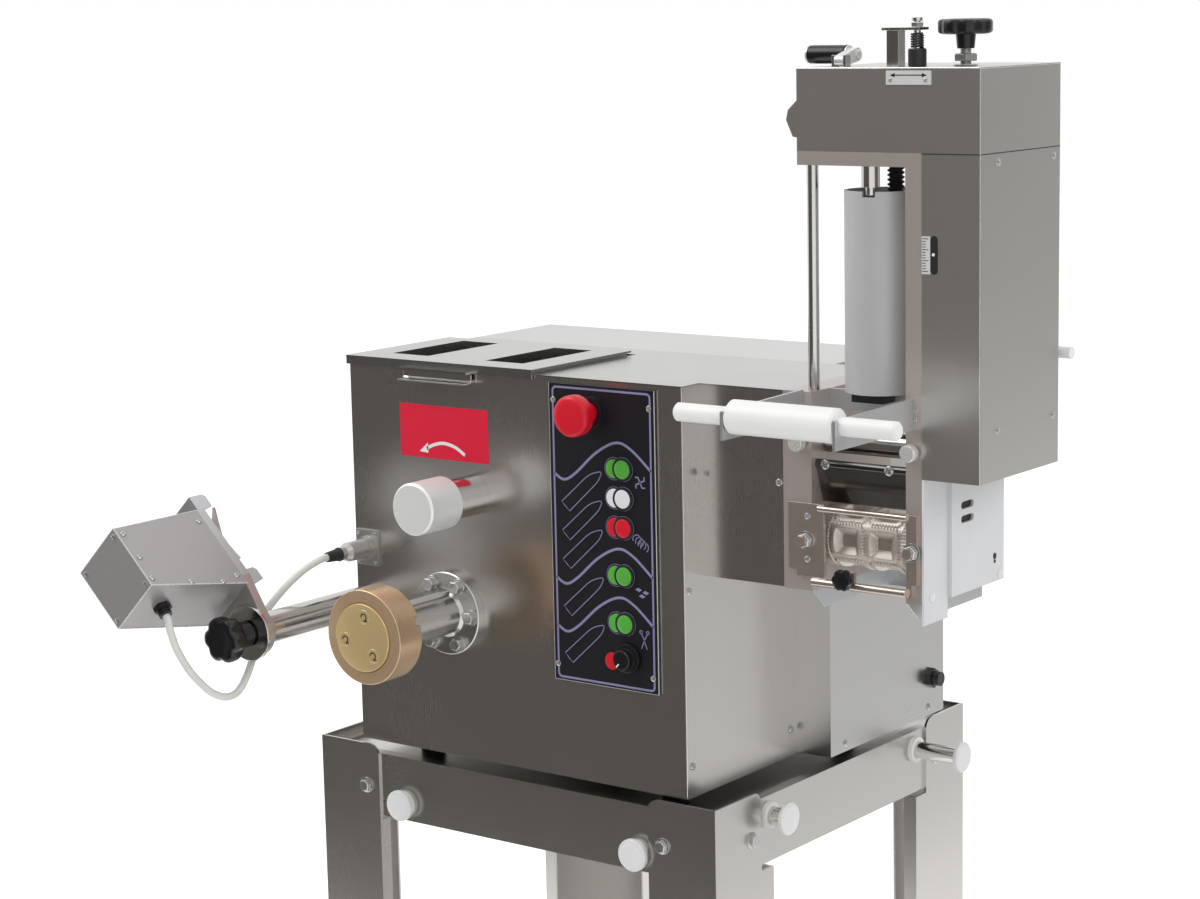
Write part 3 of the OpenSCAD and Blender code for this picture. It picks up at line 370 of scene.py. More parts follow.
# %% [markdown]
# Brushed stainless steel is the finish of nearly every sheet here. A belt sander
# leaves fine scratches in one direction: noise that is dense across the grain and
# very long along it draws them, in colour and roughness. They are far too shallow
# to need a bump. A slow second noise adds the faint clouds that hands and cloths
# leave behind.

# %% Brushed stainless steel
def brushed(name, tone, grain, roughness=0.26, metallic=1.0):
    """Brushed steel of a tone, with its scratches along the axis grain (0, 1 or 2)."""
    steel = Finish(name, Metallic=metallic)
    scale = [2600.0, 2600.0, 2600.0]
    scale[grain] = 30.0
    scratches = steel.noise(steel.objects(scale=scale), 1.0, detail=3.0, roughness=0.6)
    clouds = steel.noise(steel.objects(), 6.0, detail=3.0, roughness=0.55)
    low = [channel * 0.985 for channel in tone]
    high = [min(1.0, channel * 1.015) for channel in tone]
    return steel.looks(
        Base_Color=steel.blend(scratches.above(0.2, 0.8), low, high),
        Roughness=scratches * 0.015 + clouds * 0.08 + (roughness - 0.047),
    )


sheet_upright = brushed("brushed_sheet_upright", (0.57, 0.55, 0.53), grain=2)
sheet_across = brushed("brushed_sheet_across", (0.56, 0.545, 0.52), grain=0)
sheet_deep = brushed("brushed_sheet_deep", (0.535, 0.53, 0.515), grain=1)
# The lid and deck get a darker copy of the same steel: painted shade on their upward faces.
top_sheet_painted_shade = brushed("brushed_top_sheet_painted_shade", (0.45, 0.445, 0.435), grain=0)
tower_sheet = brushed("tower_sheet", (0.56, 0.54, 0.515), grain=2, roughness=0.30, metallic=0.86)
# The motor box is folded from the housing's sheet but gets a much darker copy of its steel: painted shade.
box_sheet_painted_shade = brushed("motor_box_sheet_painted_shade", (0.39, 0.375, 0.37), grain=0, roughness=0.32, metallic=0.45)
# The ravioli bay's sheets are tinted warm: a painted warm reflection, not the steel's own colour.
warm_reflection_bay_sheet = brushed("ravioli_bay_sheet_painted_reflection", (0.50, 0.44, 0.41), grain=2, roughness=0.34, metallic=0.5)
print("brushed sheets in three directions and four strengths")

# %% [markdown]
# Turned parts carry rings instead: a lathe tool leaves fine grooves round the
# axis. The distance from the axis feeds the noise on an end face, and the place
# along the axis feeds it on the side, so one finish serves the whole part.

# %% Turned metal
RINGS_A_METRE = 1500.0


def turned_metal(name, tone, node, roughness, metallic=1.0, depth=0.00012):
    """Metal with grooves round a node's Y axis: noise of radius plus height changes ring by ring."""
    metal = Finish(name, Metallic=metallic)
    x, height, z = metal.axes(node)
    radius = (x**2 + z**2) ** 0.5
    rings = {"W": (radius + height) * RINGS_A_METRE, "Scale": 1.0, "Detail": 2.0}
    groove = metal.node("ShaderNodeTexNoise", {"noise_dimensions": "1D"}, rings)
    cloud = metal.noise(metal.objects(), 30.0)
    low = [channel * 0.88 for channel in tone]
    high = [min(1.0, channel * 1.08) for channel in tone]
    return metal.looks(
        Base_Color=metal.blend(groove, low, high),
        Roughness=groove * 0.10 + cloud * 0.06 + (roughness - 0.08),
        Normal=metal.bump(groove, 0.25, depth, 0.0006),
    )


nut_bronze = turned_metal("ring_nut_bronze", (0.68, 0.48, 0.30), "ring_nut", 0.30, 0.6, depth=0.00004)
die_brass = turned_metal("die_brass", (0.68, 0.51, 0.25), "die", 0.34, 0.45, depth=0.00003)
knob_aluminium = turned_metal("turned_aluminium", (0.86, 0.87, 0.86), "gate_knob", 0.36, 0.35)
flange_steel = turned_metal("turned_flange", (0.55, 0.54, 0.52), "extruder_barrel", 0.22, depth=0.00001)
rod_steel = turned_metal("ground_rod", (0.60, 0.585, 0.565), "cutter_rod", 0.14)
print("turned bronze, brass, aluminium and steel")

# %% [markdown]
# Polished steel is nearly a mirror; what makes it look real is a little uneven
# haze. Sheets that were dipped in zinc show soft grey patches instead, and the
# filling cylinder is anodised: matt, fine-grained and even.

# %% Plain metals
def hazed_metal(name, tone, roughness, haze, size, metallic=1.0):
    """Metal whose roughness drifts with a cloud noise of the given size in metres."""
    metal = Finish(name, Metallic=metallic)
    cloud = metal.noise(metal.objects(), 1 / size, detail=5.0, roughness=0.6)
    low = [channel * 0.9 for channel in tone]
    return metal.looks(
        Base_Color=metal.blend(cloud, low, tone),
        Roughness=cloud * haze + (roughness - haze / 2),
        Normal=metal.bump(cloud, 0.15, 0.0001, 0.0006),
    )


polished = hazed_metal("polished_steel", (0.66, 0.65, 0.63), 0.16, 0.10, 0.02)
satin = hazed_metal("satin_steel", (0.56, 0.55, 0.53), 0.34, 0.12, 0.03, metallic=0.85)
zinc = hazed_metal("zinc_sheet", (0.60, 0.61, 0.62), 0.40, 0.22, 0.012, metallic=0.8)
anodised = hazed_metal("anodised_cylinder", (0.53, 0.53, 0.54), 0.50, 0.06, 0.02, metallic=0.25)
smoked = hazed_metal("dark_scraper_sheet", (0.12, 0.115, 0.11), 0.20, 0.10, 0.03)
# The cradle plate is tinted warm: a painted warm reflection, not the steel's own colour.
warm_reflection_plate = hazed_metal("cradle_plate_painted_reflection", (0.60, 0.52, 0.46), 0.22, 0.12, 0.02, metallic=0.8)
screw_steel = hazed_metal("screw_steel", (0.56, 0.56, 0.55), 0.24, 0.10, 0.004, metallic=0.9)
nickel = hazed_metal("nickel_screws", (0.78, 0.78, 0.765), 0.28, 0.10, 0.004, metallic=0.5)
print("plain metals")

# %% [markdown]
# The mould rollers are cast bronze: a grainy skin between the machined edges.
# A coarse and a fine noise give the grain, and the deeper places are darker:
# painted shade in the pockets.

# %% Cast bronze
BRONZE, POCKET_FLOOR, LIP = (0.70, 0.64, 0.575), 0.021, 0.0285


def cast(name, node):
    """Cast bronze round a node's X axis: grainy, with painted shade from the lips down to the pockets' floor.
    """
    metal = Finish(name, Metallic=0.7)
    _, y, z = metal.axes(node)
    height = ((y**2 + z**2) ** 0.5).above(POCKET_FLOOR, LIP)
    coarse = metal.noise(metal.objects(), 260.0, detail=4.0, roughness=0.7)
    fine = metal.noise(metal.objects(), 1300.0, detail=2.0)
    # painted shade: darker from the lips down to the pockets' floor, mixed with the grain
    painted_shade_and_grain = height * 0.65 + coarse.above(0.3, 0.7) * 0.35
    low = [channel * 0.45 for channel in BRONZE]
    return metal.looks(
        Base_Color=metal.blend(painted_shade_and_grain, low, BRONZE),
        Roughness=coarse * 0.2 + 0.30,
        Normal=metal.bump(coarse * 0.7 + fine * 0.3, 0.25, 0.0003, 0.0004),
    )


front_bronze = cast("front_mould_bronze", "mould_roller_front")
back_bronze = cast("back_mould_bronze", "mould_roller_back")
print("cast bronze")

# %% [markdown]
# Plastics differ in gloss more than in colour. Moulded knobs are glossy with an
# orange-peel surface, turned nylon is white and waxy, and rubber feet are dull.

# %% Plastics and rubber
def plastic(name, tone, roughness, grain, depth, coat=0.0, shine=0.5):
    """Moulded plastic: an even tone with a faint drift and a fine grain per metre in the bump."""
    resin = Finish(name, Coat_Weight=coat, Coat_Roughness=0.08, Specular_IOR_Level=shine)
    drift = resin.noise(resin.objects(), 25.0)
    low = [channel * 0.90 for channel in tone]
    return resin.looks(
        Base_Color=resin.blend(drift, low, tone),
        Roughness=drift * 0.12 + (roughness - 0.06),
        Normal=resin.bump(resin.noise(resin.objects(), grain), 0.2, depth, 0.0006),
    )


black_plastic = plastic("black_knob_plastic", (0.008, 0.008, 0.010), 0.30, 500.0, 0.0002, coat=0.1, shine=0.4)
matt_black = plastic("black_cover_plastic", (0.016, 0.016, 0.017), 0.5, 900.0, 0.0003)
rubber = plastic("foot_rubber", (0.018, 0.018, 0.018), 0.75, 800.0, 0.0006, shine=0.3)
nylon = plastic("white_nylon", (0.88, 0.88, 0.86), 0.42, 700.0, 0.0003)
cap_white = plastic("white_cap", (0.80, 0.80, 0.81), 0.35, 400.0, 0.0002)
red_plastic = plastic("red_button_plastic", (0.66, 0.002, 0.018), 0.34, 400.0, 0.0002, coat=0.1, shine=0.35)
white_paint = plastic("white_painted_sheet", (0.72, 0.73, 0.745), 0.38, 600.0, 0.0003)
print("plastics")

# %% [markdown]
# The control panel is a printed film over a plate: nearly black with a little
# blue in it, with a fine leather-like grain that keeps it from glaring.

# %% Panel film
panel_film = plastic("panel_film", (0.010, 0.009, 0.014), 0.42, 1400.0, 0.0003, shine=0.4)
print("panel film")

# %% [markdown]
# Every CAD node gets one finish. A table lists the nodes under their finish, so
# that a change of metal is a change of one line, and a node that the table forgets
# is printed.

# %% Finish for each CAD node
finishes = {
    sheet_upright: ["stand_legs", "housing_front", "support_box"],
    sheet_across: ["stand_rails", "stand_top"],
    sheet_deep: ["rear_housing"],
    tower_sheet: ["tower_cover", "tower_head"],
    warm_reflection_bay_sheet: ["ravioli_left_plate", "ravioli_upright", "head_lintel"],
    top_sheet_painted_shade: ["mixer_lid", "deck_plate"],
    box_sheet_painted_shade: ["cutter_motor_box"],
    polished: ["tray_rod_front_left", "tray_rod_front_right", "tray_rod_side_front", "tray_rod_side_rear",
               "mixing_shaft", "gate_sleeve", "cutter_rotor", "round_post", "locking_pin", "sheet_roller",
               "spring_latch"],
    satin: ["mixing_tank", "cutter_socket", "cable_plug", "cutter_arm"],
    nickel: ["crank_lever"],
    zinc: ["cutter_guard", "pin_bracket", "ravioli_chute"],
    smoked: ["scraper"],
    warm_reflection_plate: ["mould_cradle"],
    anodised: ["filling_cylinder"],
    front_bronze: ["mould_roller_front"],
    back_bronze: ["mould_roller_back"],
    nut_bronze: ["ring_nut"],
    die_brass: ["die"],
    knob_aluminium: ["gate_knob"],
    flange_steel: ["extruder_barrel"],
    rod_steel: ["cutter_rod"],
    black_plastic: ["leveling_feet", "speed_dial", "cutter_clamp_knob", "cutter_gland", "lead_gland",
                    "cradle_knob", "adjusting_knob", "cylinder_foot"],
    matt_black: ["press_screw"],
    rubber: ["machine_feet"],
    nylon: ["rod_guides", "rolling_pin", "rear_peg"],
    red_plastic: ["stop_button"],
    white_paint: ["side_guard"],
    panel_film: ["control_panel"],
    sleeve_white: ["cutter_cable"],
}


def give(node, finish):
    """One finish for a whole CAD node."""
    materials = nodes[node].data.materials
    materials.clear()
    materials.append(finish)


for finish, names in finishes.items():
    for name in names:
        give(name, finish)
bare = sorted(set(nodes) - {name for names in finishes.values() for name in names})
print("CAD nodes without a finish:", bare)

# %% [markdown]
# Screws, bolts, knobs, threads and springs share one idea: rings stacked along a
# direction. A profile gives the radius at each height, and an outline says how
# that radius changes round the ring: six-sided for a nut, lobed for a star knob,
# fine teeth for a knurl. One helper takes a whole table of radii, so a thread or
# a recess can change both ways at once.

# %% Helper: stacked rings with any outline
FRONT, RIGHT, UP = (np.array(direction, float) for direction in ([0, -1, 0], [1, 0, 0], [0, 0, 1]))


def across(along):
    """Two unit directions a and b at right angles to a direction, with a x b along it."""
    a = np.cross([0.0, 0.0, 1.0] if abs(along[2]) < 0.9 else [0.0, 1.0, 0.0], along)
    a /= np.linalg.norm(a)
    return a, np.cross(along, a)


def stacked(at, along, height, radius, turn=0.0):
    """Points at + h along + r (cos t a + sin t b), in millimetres; radius has a row for each height."""
    a, b = across(along)
    angle = turn + np.linspace(0, 2 * np.pi, radius.shape[1], endpoint=False)
    ring = np.cos(angle)[:, None] * a + np.sin(angle)[:, None] * b
    height = np.broadcast_to(np.asarray(height, float).T, radius.shape[::-1]).T
    return surface(at + MM * (height[:, :, None] * along + radius[:, :, None] * ring))


def turned(at, along, profile, outline=None, sides=32, turn=0.0):
    """Rings of the profile's (height, radius) pairs, each radius times the outline at every angle."""
    height, radius = np.array(profile, float).T
    angle = np.linspace(0, 2 * np.pi, sides, endpoint=False)
    factor = np.ones(sides) if outline is None else outline(angle)
    return stacked(at, along, height[:, None], radius[:, None] * factor, turn)


def hexagon(angle):
    """1 at six corners and cos 30 in the middle of the flats between them."""
    return math.cos(math.pi / 6) / np.cos(angle % (math.pi / 3) - math.pi / 6)


def lobed(count, depth):
    """Outline of a star knob: 1 on its lobes, and depth less in the flutes, as a sine to the fourth."""
    return lambda angle: 1 - depth * np.sin(angle * count / 2) ** 4


def knurled(count, depth):
    """Outline with fine pointed teeth: 1 at the tips and depth less between them."""
    return lambda angle: 1 - depth * np.abs((angle * count / (2 * np.pi)) % 1 * 2 - 1)


print("hexagon flats at", round(float(hexagon(np.array([math.pi / 6]))[0]), 3), "of the corner radius")

# %% [markdown]
# Most sheets are held by small pan-head screws with a cross recess. The head is a
# dome on a polar grid: the height falls with the square of the radius, and where
# a point lies within half a slot's width of either arm it sinks. Bolts get a
# washer and a chamfered six-sided head.

# %% Helper: screws and bolts
SLOT_TURN, FLAT_TURN = 0.5, 0.3


def screw(at, along, radius, arms=2):
    """Domed head: height 0.55 R (1 - 0.5 q^2) at q = r / R, sunk where a slot arm runs."""
    q = np.array([1, 1, 0.94, 0.82, 0.66, 0.6, 0.45, 0.3, 0.18, 0.05])[:, None]
    angle = np.linspace(0, 2 * np.pi, 32, endpoint=False)[None, :]
    to_arm = np.abs(np.sin(angle)) * q
    if arms == 2:
        to_arm = np.minimum(to_arm, np.abs(np.cos(angle)) * q)
    reach = 0.62 if arms == 2 else 1.1
    sunk = (to_arm < 0.14) & (q < reach)
    height = radius * (0.55 * (1 - 0.5 * q**2) - 0.25 * sunk)
    height[0] = -0.05 * radius
    return stacked(at, along, height, radius * q * np.ones_like(angle), SLOT_TURN)


def bolt(at, along, radius):
    """A washer and a six-sided head with a chamfered end."""
    head = 0.75 * radius
    washer = [(0, 1.25 * radius), (0.9, 1.25 * radius), (1.1, 1.18 * radius), (1.1, 0.4 * radius)]
    flats = [(0.8, radius), (head, radius), (head + 0.8, 0.86 * radius), (head + 0.8, 0.3 * radius)]
    return join([turned(at, along, washer), turned(at, along, flats, hexagon, 24, FLAT_TURN)])


print("one screw head has", len(screw(corner, FRONT, 3)[1]), "faces")

# %% [markdown]
# Printing and labels lie flat on a sheet. A printed line is a strip carried along
# its path: at each point half a width to either side and a hair's thickness up.
# A label is an outline, counter-clockwise as seen from the front, and the same
# outline a little further out.

# %% Helper: strips and flat plates on the front
def on_front(outline, y):
    """Points (x, z) in millimetres as places in the plane y."""
    return place(0, y, 0) + MM * np.asarray(outline, float) @ np.array([[1.0, 0, 0], [0, 0, 1.0]])


def on_side(outline, x):
    """Points (y, z) in millimetres as places in the plane x."""
    return place(x, 0, 0) + MM * np.asarray(outline, float) @ np.array([[0, 1.0, 0], [0, 0, 1.0]])


def strip(path, width, thick=0.25):
    """Four-cornered sections across a path, half a width to either side and a thickness forward."""
    along = np.gradient(path, axis=0)
    along /= np.linalg.norm(along, axis=1, keepdims=True)
    sideways = np.cross(FRONT, along)
    corners = MM * np.array([[width / 2, 0], [width / 2, thick], [-width / 2, thick], [-width / 2, 0]])
    return surface(path[:, None] + corners[:, :1] * sideways[:, None] + corners[:, 1:] * FRONT)


def slab(outline, out, thick):
    """A flat plate: its outline, counter-clockwise as seen from out, and again a thickness further out."""
    return surface(np.stack([outline, outline + MM * thick * out]))


def plate(outline, y, thick=0.25):
    """A slab that faces the front at y, from corners (x, z) in millimetres."""
    return slab(on_front(outline, y), FRONT, thick)


def rectangle(low, high):
    """Four corners of a rectangle, counter-clockwise from its lower left."""
    return [low, [high[0], low[1]], high, [low[0], high[1]]]


def arc(x, z, radius, start, end, count=24):
    """Points of a circle in the front plane, from one angle in degrees to another."""
    angle = np.radians(np.linspace(start, end, count))
    return np.stack([x + radius * np.cos(angle), z + radius * np.sin(angle)], axis=1)


def rounded(low, high, radius):
    """Closed outline of a rectangle with round corners, begun in the middle of its lower side."""
    (x0, z0), (x1, z1) = np.array(low) + radius, np.array(high) - radius
    corners = [arc(x1, z0, radius, -90, 0, 7), arc(x1, z1, radius, 0, 90, 7),
               arc(x0, z1, radius, 90, 180, 7), arc(x0, z0, radius, 180, 270, 7)]
    start = [[(x0 + x1) / 2, z0 - radius]]
    return np.concatenate([start, *corners, start])


print("round corner has", len(arc(0, 0, 1, 0, 90, 7)), "points")

# %% [markdown]
# The control panel's print divides it into fields: a rounded border, three waves
# across it, a slanted bullet-shaped frame beside each key, and a small picture of
# what each key drives. The frames stay empty, because the part carries no words.
# All lines are strips of the same pale lilac.

# %% Panel print
panel_low, panel_high = span("control_panel")
FILM_Y = -3.0
KEY_X = panel_low[0] + 87.5
KEY_Z = panel_low[2] + np.array([216, 187.5, 159, 112, 65])
border_low = panel_low[[0, 2]] + [4.5, 3]
border_high = panel_high[[0, 2]] - [4.5, 3.5]

wave_points = [[0, 0], [11.8, -5.6], [26, 1.9], [51.6, 24], [75.5, 35.4], [93.7, 29.5], [116, 11]]
wave = smooth_path(np.array(wave_points), 6)
lines = [strip(on_front(rounded(border_low, border_high, 4), FILM_Y), 2.1)]
for rise in (202.8, 99.6, 51.8):
    lines.append(strip(on_front(wave + [border_low[0], border_low[1] + rise], FILM_Y), 2.6))

tip = smooth_path(np.array([[39, 18], [45.3, 24.8], [48, 32.6], [36.9, 30], [29, 25.2]]), 5)
frame_shape = np.concatenate([[[4, -4.3], [9.1, -9]], tip, [[0, 0], [4, -4.3]]])
for z in KEY_Z:
    lines.append(strip(on_front(frame_shape + [KEY_X - 74.5, z - 37.5], FILM_Y), 0.9))
print("panel lines:", len(lines))

# %% [markdown]
# The pictures are made up: four bent arms for the mixer, a row of loops for the
# dough that comes out, three tiles for ravioli, and a pair of crossed blades.

# %% Small pictures beside the keys
def strokes(points_list, x, z, width):
    """Strips through lists of points around x, z on the panel."""
    return [strip(on_front(np.array(points, float) + [x, z], FILM_Y), width) for points in points_list]


def bent_arm(a):
    """An arm from the middle, pointing at the angle a and bent at its end."""
    b = a + 0.45
    return [[0, 0], [5.5 * math.cos(a), 5.5 * math.sin(a)], [7.5 * math.cos(b), 7.5 * math.sin(b)]]


beside = KEY_X + 17
arms = [bent_arm(a) for a in np.radians([25, 115, 205, 295])]
lines += strokes(arms, beside + 3, KEY_Z[0] - 11, 1.6)
for dx in (-2, 1, 4, 7):
    loop = arc(beside + dx, KEY_Z[2] - 11 - 0.75 * dx, 4.6, -60, 200)
    lines.append(strip(on_front(loop, FILM_Y), 1.0))
for dx, dz in ((0, 0), (8.5, -2.2), (4, -6)):
    tile = np.array([[-4, 0], [0.6, -2], [4, 0.3], [-0.6, 2.2]]) + [beside + dx - 1, KEY_Z[3] - 11.5 + dz]
    lines.append(plate(tile, FILM_Y))
blades = [[[-3, 6], [0, 0], [3.4, -9]], [[4, 6], [0.5, 0], [-3.2, -9]]]
lines += strokes(blades, beside + 4.5, KEY_Z[4] - 13, 1.0)
lines += [strip(on_front(arc(beside + dx, KEY_Z[4] - 5.5, 1.5, 0, 360), FILM_Y), 0.9) for dx in (1, 9)]

lilac = plastic("panel_print_lilac", (0.25, 0.235, 0.42), 0.4, 900.0, 0.0001)
piece("panel_print", join(lines), "base", lilac)

# %% [markdown]
# Each key is a pair of round pads under the film, the right one raised over the
# left, with a pale outline round both. A black ring round the raised pad paints
# the shade at the step between them. The film makes them glossy, so they get a
# clear coat.

# %% Keys and lamp
pad = [(0.3, 9.2), (0.9, 9.1), (1.3, 8.2), (1.5, 5), (1.55, 0.5)]
raised_pad = [(0.3, 9.2), (1.7, 9.2), (2.2, 8.5), (2.4, 5), (2.5, 0.5)]
step_shade_ring = [(0.3, 11.4), (1.75, 11.4), (1.85, 8.5)]
SPREAD = 10.5
meet = math.degrees(math.acos(SPREAD / 2 / 10.9))


def key(z):
    """Pads of one key at height z, lower left and raised right."""
    left, right = place(KEY_X - SPREAD, FILM_Y - 0.3, z), place(KEY_X, FILM_Y - 0.3, z)
    return join([turned(left, FRONT, pad, sides=40), turned(right, FRONT, raised_pad, sides=40)])


def key_outline(z):
    """A line round both pads: two arcs that end where they meet, above and below."""
    right_arc = arc(KEY_X, z, 11.6, meet - 178, 178 - meet)
    left_arc = arc(KEY_X - SPREAD, z, 10.9, meet, 360 - meet)
    return join([strip(on_front(half_line, FILM_Y), 0.5, 0.3) for half_line in (right_arc, left_arc)])


key_green = plastic("key_green", (0.085, 0.43, 0.045), 0.3, 600.0, 0.0001, coat=0.3)
key_white = plastic("key_white", (0.82, 0.82, 0.84), 0.3, 600.0, 0.0001, coat=0.3)
key_red = plastic("key_red", (0.70, 0.004, 0.022), 0.3, 600.0, 0.0001, coat=0.2, shine=0.4)
piece("keys_green", join([key(KEY_Z[k]) for k in (0, 3, 4)]), "base", key_green)
piece("key_white", key(KEY_Z[1]), "base", key_white)
LAMP_X, LAMP_Z = panel_low[0] + 70.5, panel_low[2] + 26.5
lamp_profile = [(0.2, 8.5), (0.4, 8.4), (0.6, 7), (0.62, 0.5)]
lamp_pad = turned(place(LAMP_X, FILM_Y - 0.3, LAMP_Z), FRONT, lamp_profile, sides=40)
piece("keys_red", join([key(KEY_Z[2]), lamp_pad]), "base", key_red)
piece("key_outlines", join([key_outline(z) for z in KEY_Z]), "base", lilac)
# painted shade: a black ring round each raised pad, at the step
piece("key_step_shade", join([turned(place(KEY_X, FILM_Y - 0.3, z), FRONT, step_shade_ring, sides=40) for z in KEY_Z]),
      "base", matt_black)

# %% [markdown]
# The stop button's head is a turned cap with a rounded rim. The dial is a knob with
# fine grip teeth round it and a white mark.

# %% Stop button and dial
stop_low, stop_high = span("stop_button")
STOP = [(stop_low[0] + stop_high[0]) / 2, stop_low[1], (stop_low[2] + stop_high[2]) / 2]
head = [(-14, 17), (-13.4, 18.6), (-12, 19.8), (-10, 20.2), (-4, 20),
        (-2, 19), (-0.6, 16.5), (0.1, 12), (0.3, 0.5)]
piece("stop_head", turned(place(*STOP), FRONT, head, sides=48), "stop", red_plastic)

dial_low, dial_high = span("speed_dial")
DIAL = [(dial_low[0] + dial_high[0]) / 2, dial_low[1], (dial_low[2] + dial_high[2]) / 2]
skirt = [(-16, 14.6), (-14, 14.8), (-12.4, 14.2), (-11.6, 11.4), (-11.4, 0.5)]
grip = [(-12, 10.8), (-4.6, 10.3), (-3.8, 9.4), (-3.4, 7), (-3.4, 0.5)]
spindle = [(-24, 2.4), (-15, 2.4)]
dial_knob = join([
    turned(place(*DIAL), FRONT, skirt, sides=96),
    turned(place(*DIAL), FRONT, grip, knurled(24, 0.09), 96),
    turned(place(*DIAL), FRONT, spindle),
])
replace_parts(piece("dial_grip", dial_knob, "dial", black_plastic), "speed_dial")
mark = np.array([[-5.4, -6.4], [-4.4, -7.4], [-1.5, -4.2], [-2.5, -3.2]]) + [DIAL[0], DIAL[2]]
piece("dial_mark", plate(mark, DIAL[1] + 3.4, 0.3), "dial", nylon)

# %% [markdown]
# A red plastic label sits under the lid's grip. It shows only a bent arrow, which
# says which way the mixer turns. The arrow is a strip along a curve, and its head
# is a three-cornered plate.

# %% Label with an arrow
label_red = plastic("label_red", (0.76, 0.006, 0.040), 0.4, 300.0, 0.0001, shine=0.4)
label_white = plastic("label_white", (0.85, 0.85, 0.85), 0.4, 300.0, 0.0001)
label = plate(rectangle([66, 306], [181, 360]), 0, 0.3)
piece("mixer_label", label, "base", label_red)
bend = smooth_path(np.array([[150.5, 312.6], [138, 319.6], [123, 322.4], [110, 319.8], [101, 315.6]]), 6)
arrow = [strip(on_front(bend, -0.3), 3.4), plate([[91.2, 312], [102.6, 311.2], [102.4, 321.6]], -0.3)]
piece("label_arrow", join(arrow), "base", label_white)

# %% [markdown]
# The mould rollers are the heart of the ravioli unit, and the hardest piece: each
# has two rows of five square pockets with sloping walls, a raised lip round every
# pocket, and pointed teeth between the lips that press the dough's edges together.
# Carving this from a cylinder would take hundreds of cuts. Instead the radius is
# worked out for a fine grid over the whole roller: the rounded-square distance
# from the nearest pocket's middle says whether a point is on the floor, the wall,
# the lip or among the teeth.

# %% Mould rollers
ROLLER_R, PITCH, AROUND, TOOTH = 29.0, 37.5, 5, 3.31


def fade(value, start, end):
    """0 before start and 1 after end, smooth in between: t t (3 - 2 t)."""
    t = np.clip((value - start) / (end - start), 0, 1)
    return t * t * (3 - 2 * t)


def roller_radius(x, angle):
    """Roller radius in millimetres at x from its middle and at an angle from a row of pockets."""
    row_angle = 2 * np.pi / AROUND
    a = np.abs(x) - PITCH / 2 + 0 * angle
    b = ROLLER_R * ((angle + row_angle / 2) % row_angle - row_angle / 2) + 0 * x
    distance = (np.abs(a) ** 9 + np.abs(b) ** 9) ** (1 / 9)
    beside = np.where(np.abs(a) > np.abs(b), b, a)
    edge = 16.9 + 0.9 * np.cos(2 * np.pi * beside / TOOTH)
    pocket = 6.8 * np.clip((12.8 - distance) / 5.6, 0, 1)
    land = 1 - fade(distance, edge - 0.5, edge + 0.5)
    cog = 0.5 + 0.5 * np.cos(2 * np.pi * ROLLER_R * angle / TOOTH)
    past = fade(np.abs(x), PITCH + 0.6, PITCH + 1.4)
    rim = (0.5 + 0.9 * cog) * past + 0.3 * (1 - past)
    return ROLLER_R - 0.05 - 1.9 * (1 - np.maximum(land, rim / 1.9)) - pocket


def mould_surface(node, first_row):
    """The roller and its axle, in place of a CAD node; first_row is the angle of a row of pockets."""
    low, high = span(node)
    centre, end = (low + high) / 2, (high[0] - low[0]) / 2
    x = np.linspace(12.5 - end, end - 12.5, 170)[:, None]
    angle = np.linspace(0, 2 * np.pi, 330, endpoint=False)[None, :]
    body = stacked(place(*centre), RIGHT, x, roller_radius(x, angle), first_row)
    axle = turned(place(*centre), RIGHT, [(-end, 7), (1 - end, 8), (end - 1, 8), (end, 7)])
    return join([body, axle])


for side, first_row, bronze in (("front", np.pi, front_bronze), ("back", 0.0, back_bronze)):
    node = "mould_roller_" + side
    shape = mould_surface(node, first_row)
    roller = piece(node + "_cast", shape, "mould_" + side, bronze, smooth=24)
    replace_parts(roller, node)

# %% [markdown]
# The black star knobs are moulded: round lobes with shallow flutes between them, a
# rounded front edge, and a collar behind. Each replaces its plainer CAD shape and
# sits in the same space.

# %% Star knobs
def knob(node, body, at, along, profile, lobes, depth, extra=()):
    """A lobed knob that stands for a CAD node."""
    made = piece(node + "_moulded", join([turned(at, along, profile, lobed(lobes, depth), 96), *extra]),
                 body, black_plastic)
    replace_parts(made, node)


ROD = np.array([16.5, 0.0, 150.0])
clamp_low, clamp_high = span("cutter_clamp_knob")
at = place(ROD[0], clamp_low[1], ROD[2])
neck = turned(at, FRONT, [(0.1 - (clamp_high[1] - clamp_low[1]), 13), (-20, 13), (-20, 0.5)])
star = [(-22, 8), (-22, 15), (-20, 19), (-17, 21.6), (-12, 23), (-5, 23),
        (-2.4, 22), (-0.8, 20), (0, 17), (-0.6, 9), (-0.6, 0.5)]
knob("cutter_clamp_knob", "clamp_knob", at, FRONT, star, 6, 0.14, [neck])

cradle_low, cradle_high = span("cradle_knob")
at = place((cradle_low[0] + cradle_high[0]) / 2, cradle_low[1], (cradle_low[2] + cradle_high[2]) / 2)
neck = turned(at, FRONT, [(-16.5, 4), (-8, 4), (-8, 0.5)])
small_star = [(-9, 5), (-9, 8.6), (-8, 9.8), (-6, 10.3), (-2.4, 10.3), (-0.8, 9.6), (0, 8), (0.2, 0.5)]
knob("cradle_knob", "latch_knob", at, FRONT, small_star, 6, 0.13, [neck])

